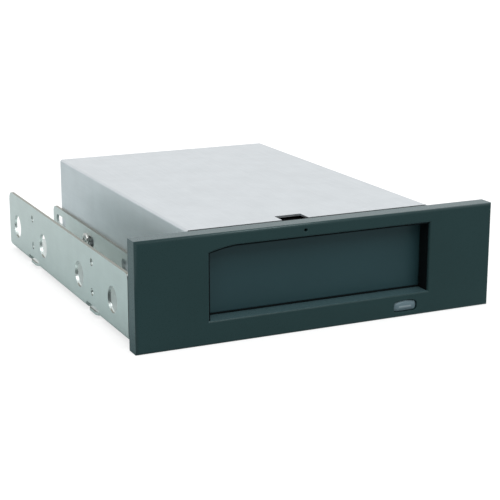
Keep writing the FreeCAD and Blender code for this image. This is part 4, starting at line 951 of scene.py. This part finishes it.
def floor_material(dark_room):
    """Matt white paper. It keeps the drive's shadow, and a glow that the camera sees brings it to
    the white of the backdrop. In reflections it is darker in front of the drive, and from below
    it isn't seen."""
    material = bpy.data.materials.new("White paper floor")
    material.use_nodes = True
    tree = material.node_tree
    tree.nodes.clear()
    place = add_node(tree, "ShaderNodeTexCoord").outputs["Object"]
    away = add_node(tree, "ShaderNodeVectorMath", {"operation": "LENGTH"}, {0: place})
    settings = {"From Min": 0.15, "From Max": 1.2, "To Min": 0.69, "To Max": 1.0}
    glowing = add_node(tree, "ShaderNodeMapRange", settings, {"Value": away.outputs["Value"]})
    parts = add_node(tree, "ShaderNodeSeparateXYZ", None, {"Vector": place}).outputs
    settings = {"From Min": -0.12, "From Max": 0.2, "To Min": 0.0, "To Max": 1.0}
    rearward = add_node(tree, "ShaderNodeMapRange", settings, {"Value": parts["Y"]})
    ramp = add_node(tree, "ShaderNodeValToRGB", None, {"Fac": rearward.outputs["Result"]})
    stops = ramp.color_ramp.elements
    stops[0].color = shade(srgb("7f8c8c"), dark_room / DARK_ROOM)
    stops[1].color = srgb("dbe3e3")
    stops.new(0.25).color = srgb("b9c8c8")
    paper = add_node(tree, "ShaderNodeBsdfDiffuse", {"Color": srgb("b0b0b0")})
    dim_paper = add_node(tree, "ShaderNodeBsdfDiffuse", None, {"Color": ramp.outputs["Color"]})
    glow = add_node(tree, "ShaderNodeEmission", {"Color": WHITE},
                    {"Strength": glowing.outputs["Result"]})
    mirror_glow = add_node(tree, "ShaderNodeEmission", {"Color": WHITE, "Strength": MIRROR_GLOW})
    lit = add_node(tree, "ShaderNodeAddShader", None, {0: paper.outputs[0], 1: glow.outputs[0]})
    links = {0: dim_paper.outputs[0], 1: mirror_glow.outputs[0]}
    reflected = add_node(tree, "ShaderNodeAddShader", None, links)
    under = add_node(tree, "ShaderNodeNewGeometry").outputs["Backfacing"]
    gone = add_node(tree, "ShaderNodeBsdfTransparent")
    links = {0: under, 1: by_ray(tree, paper, reflected, lit), 2: gone.outputs[0]}
    sided = add_node(tree, "ShaderNodeMixShader", None, links)
    add_node(tree, "ShaderNodeOutputMaterial", None, {"Surface": sided.outputs[0]})
    return material


def add_lamp(name, place, width, power):
    """Square softbox that faces the drive."""
    light = bpy.data.lights.new(name, "AREA")
    light.shape = "RECTANGLE"
    light.size = light.size_y = width
    light.energy = power
    lamp = bpy.data.objects.new(name, light)
    lamp.location = place
    lamp.rotation_euler = (LAMP_TARGET - Vector(place)).to_track_quat("-Z", "Y").to_euler()
    bpy.context.scene.collection.objects.link(lamp)


class DRIVE_OT_stage(bpy.types.Operator):
    """Make the camera, the lamps and the floor"""
    bl_idname = "drive.stage"
    bl_label = "Stage"

    def execute(self, context):
        stage = context.scene.drive_stage
        low = cad_box[0]
        camera_data = bpy.data.cameras.new("Camera")
        camera_data.lens = stage.lens
        camera_data.sensor_width = 36.0
        camera_data.clip_start = 10 * MM
        camera = bpy.data.objects.new("Camera", camera_data)
        camera.location = Vector((0, low[1], low[2])) + CAMERA_PLACE
        tilt = math.pi / 2 - stage.elevation
        camera.rotation_euler = Euler((tilt, stage.roll, stage.azimuth), "XYZ")
        context.scene.collection.objects.link(camera)
        context.scene.camera = camera
        shape = bmesh.new()
        bmesh.ops.create_grid(shape, x_segments=1, y_segments=1, size=FLOOR_HALF_WIDTH)
        mesh = bpy.data.meshes.new("floor")
        shape.to_mesh(mesh)
        shape.free()
        mesh.materials.append(floor_material(stage.dark_room))
        mesh.transform(Matrix.Translation((0, 0, low[2])))
        floor = bpy.data.objects.new("floor", mesh)
        context.scene.collection.objects.link(floor)
        studio_world(stage.sky, stage.dark_room)
        for name, place, width in LAMPS:
            add_lamp(name, place, width, getattr(stage, name))
        context.scene.view_settings.view_transform = "Standard"
        return {"FINISHED"}


# ---- Add-on ----

STEPS = (DRIVE_OT_stage, DRIVE_OT_housing, DRIVE_OT_bezel, DRIVE_OT_brackets, DRIVE_OT_screws,
         DRIVE_OT_bay, DRIVE_OT_boards, DRIVE_OT_connectors, DRIVE_OT_ejector)


class DRIVE_PT_panel(bpy.types.Panel):
    """Lists the drive's steps and settings"""
    bl_idname = "DRIVE_PT_panel"
    bl_label = "Cartridge drive"
    bl_space_type = "VIEW_3D"
    bl_region_type = "UI"
    bl_category = "Cartridge drive"

    def draw(self, context):
        scene = context.scene
        for step in STEPS:
            self.layout.operator(step.bl_idname)
        for group in (scene.drive_finish, scene.drive_detail, scene.drive_stage):
            column = self.layout.column()
            for name in group.bl_rna.properties.keys():
                if name not in ("rna_type", "name"):
                    column.prop(group, name)


GROUPS = (DriveFinish, DriveDetail, DriveStage)


def register():
    for group in GROUPS + STEPS + (DRIVE_PT_panel,):
        bpy.utils.register_class(group)
    bpy.types.Scene.drive_finish = PointerProperty(type=DriveFinish)
    bpy.types.Scene.drive_detail = PointerProperty(type=DriveDetail)
    bpy.types.Scene.drive_stage = PointerProperty(type=DriveStage)


def unregister():
    del bpy.types.Scene.drive_stage
    del bpy.types.Scene.drive_detail
    del bpy.types.Scene.drive_finish
    for group in reversed(GROUPS + STEPS + (DRIVE_PT_panel,)):
        bpy.utils.unregister_class(group)


def main():
    """Dresses the drive and sets the stage."""
    register()
    bpy.ops.drive.stage()
    bpy.ops.drive.housing()
    bpy.ops.drive.bezel()
    bpy.ops.drive.brackets()
    bpy.ops.drive.screws()
    bpy.ops.drive.bay()
    bpy.ops.drive.boards()
    bpy.ops.drive.connectors()
    bpy.ops.drive.ejector()


if __name__ == "__main__":
    main()
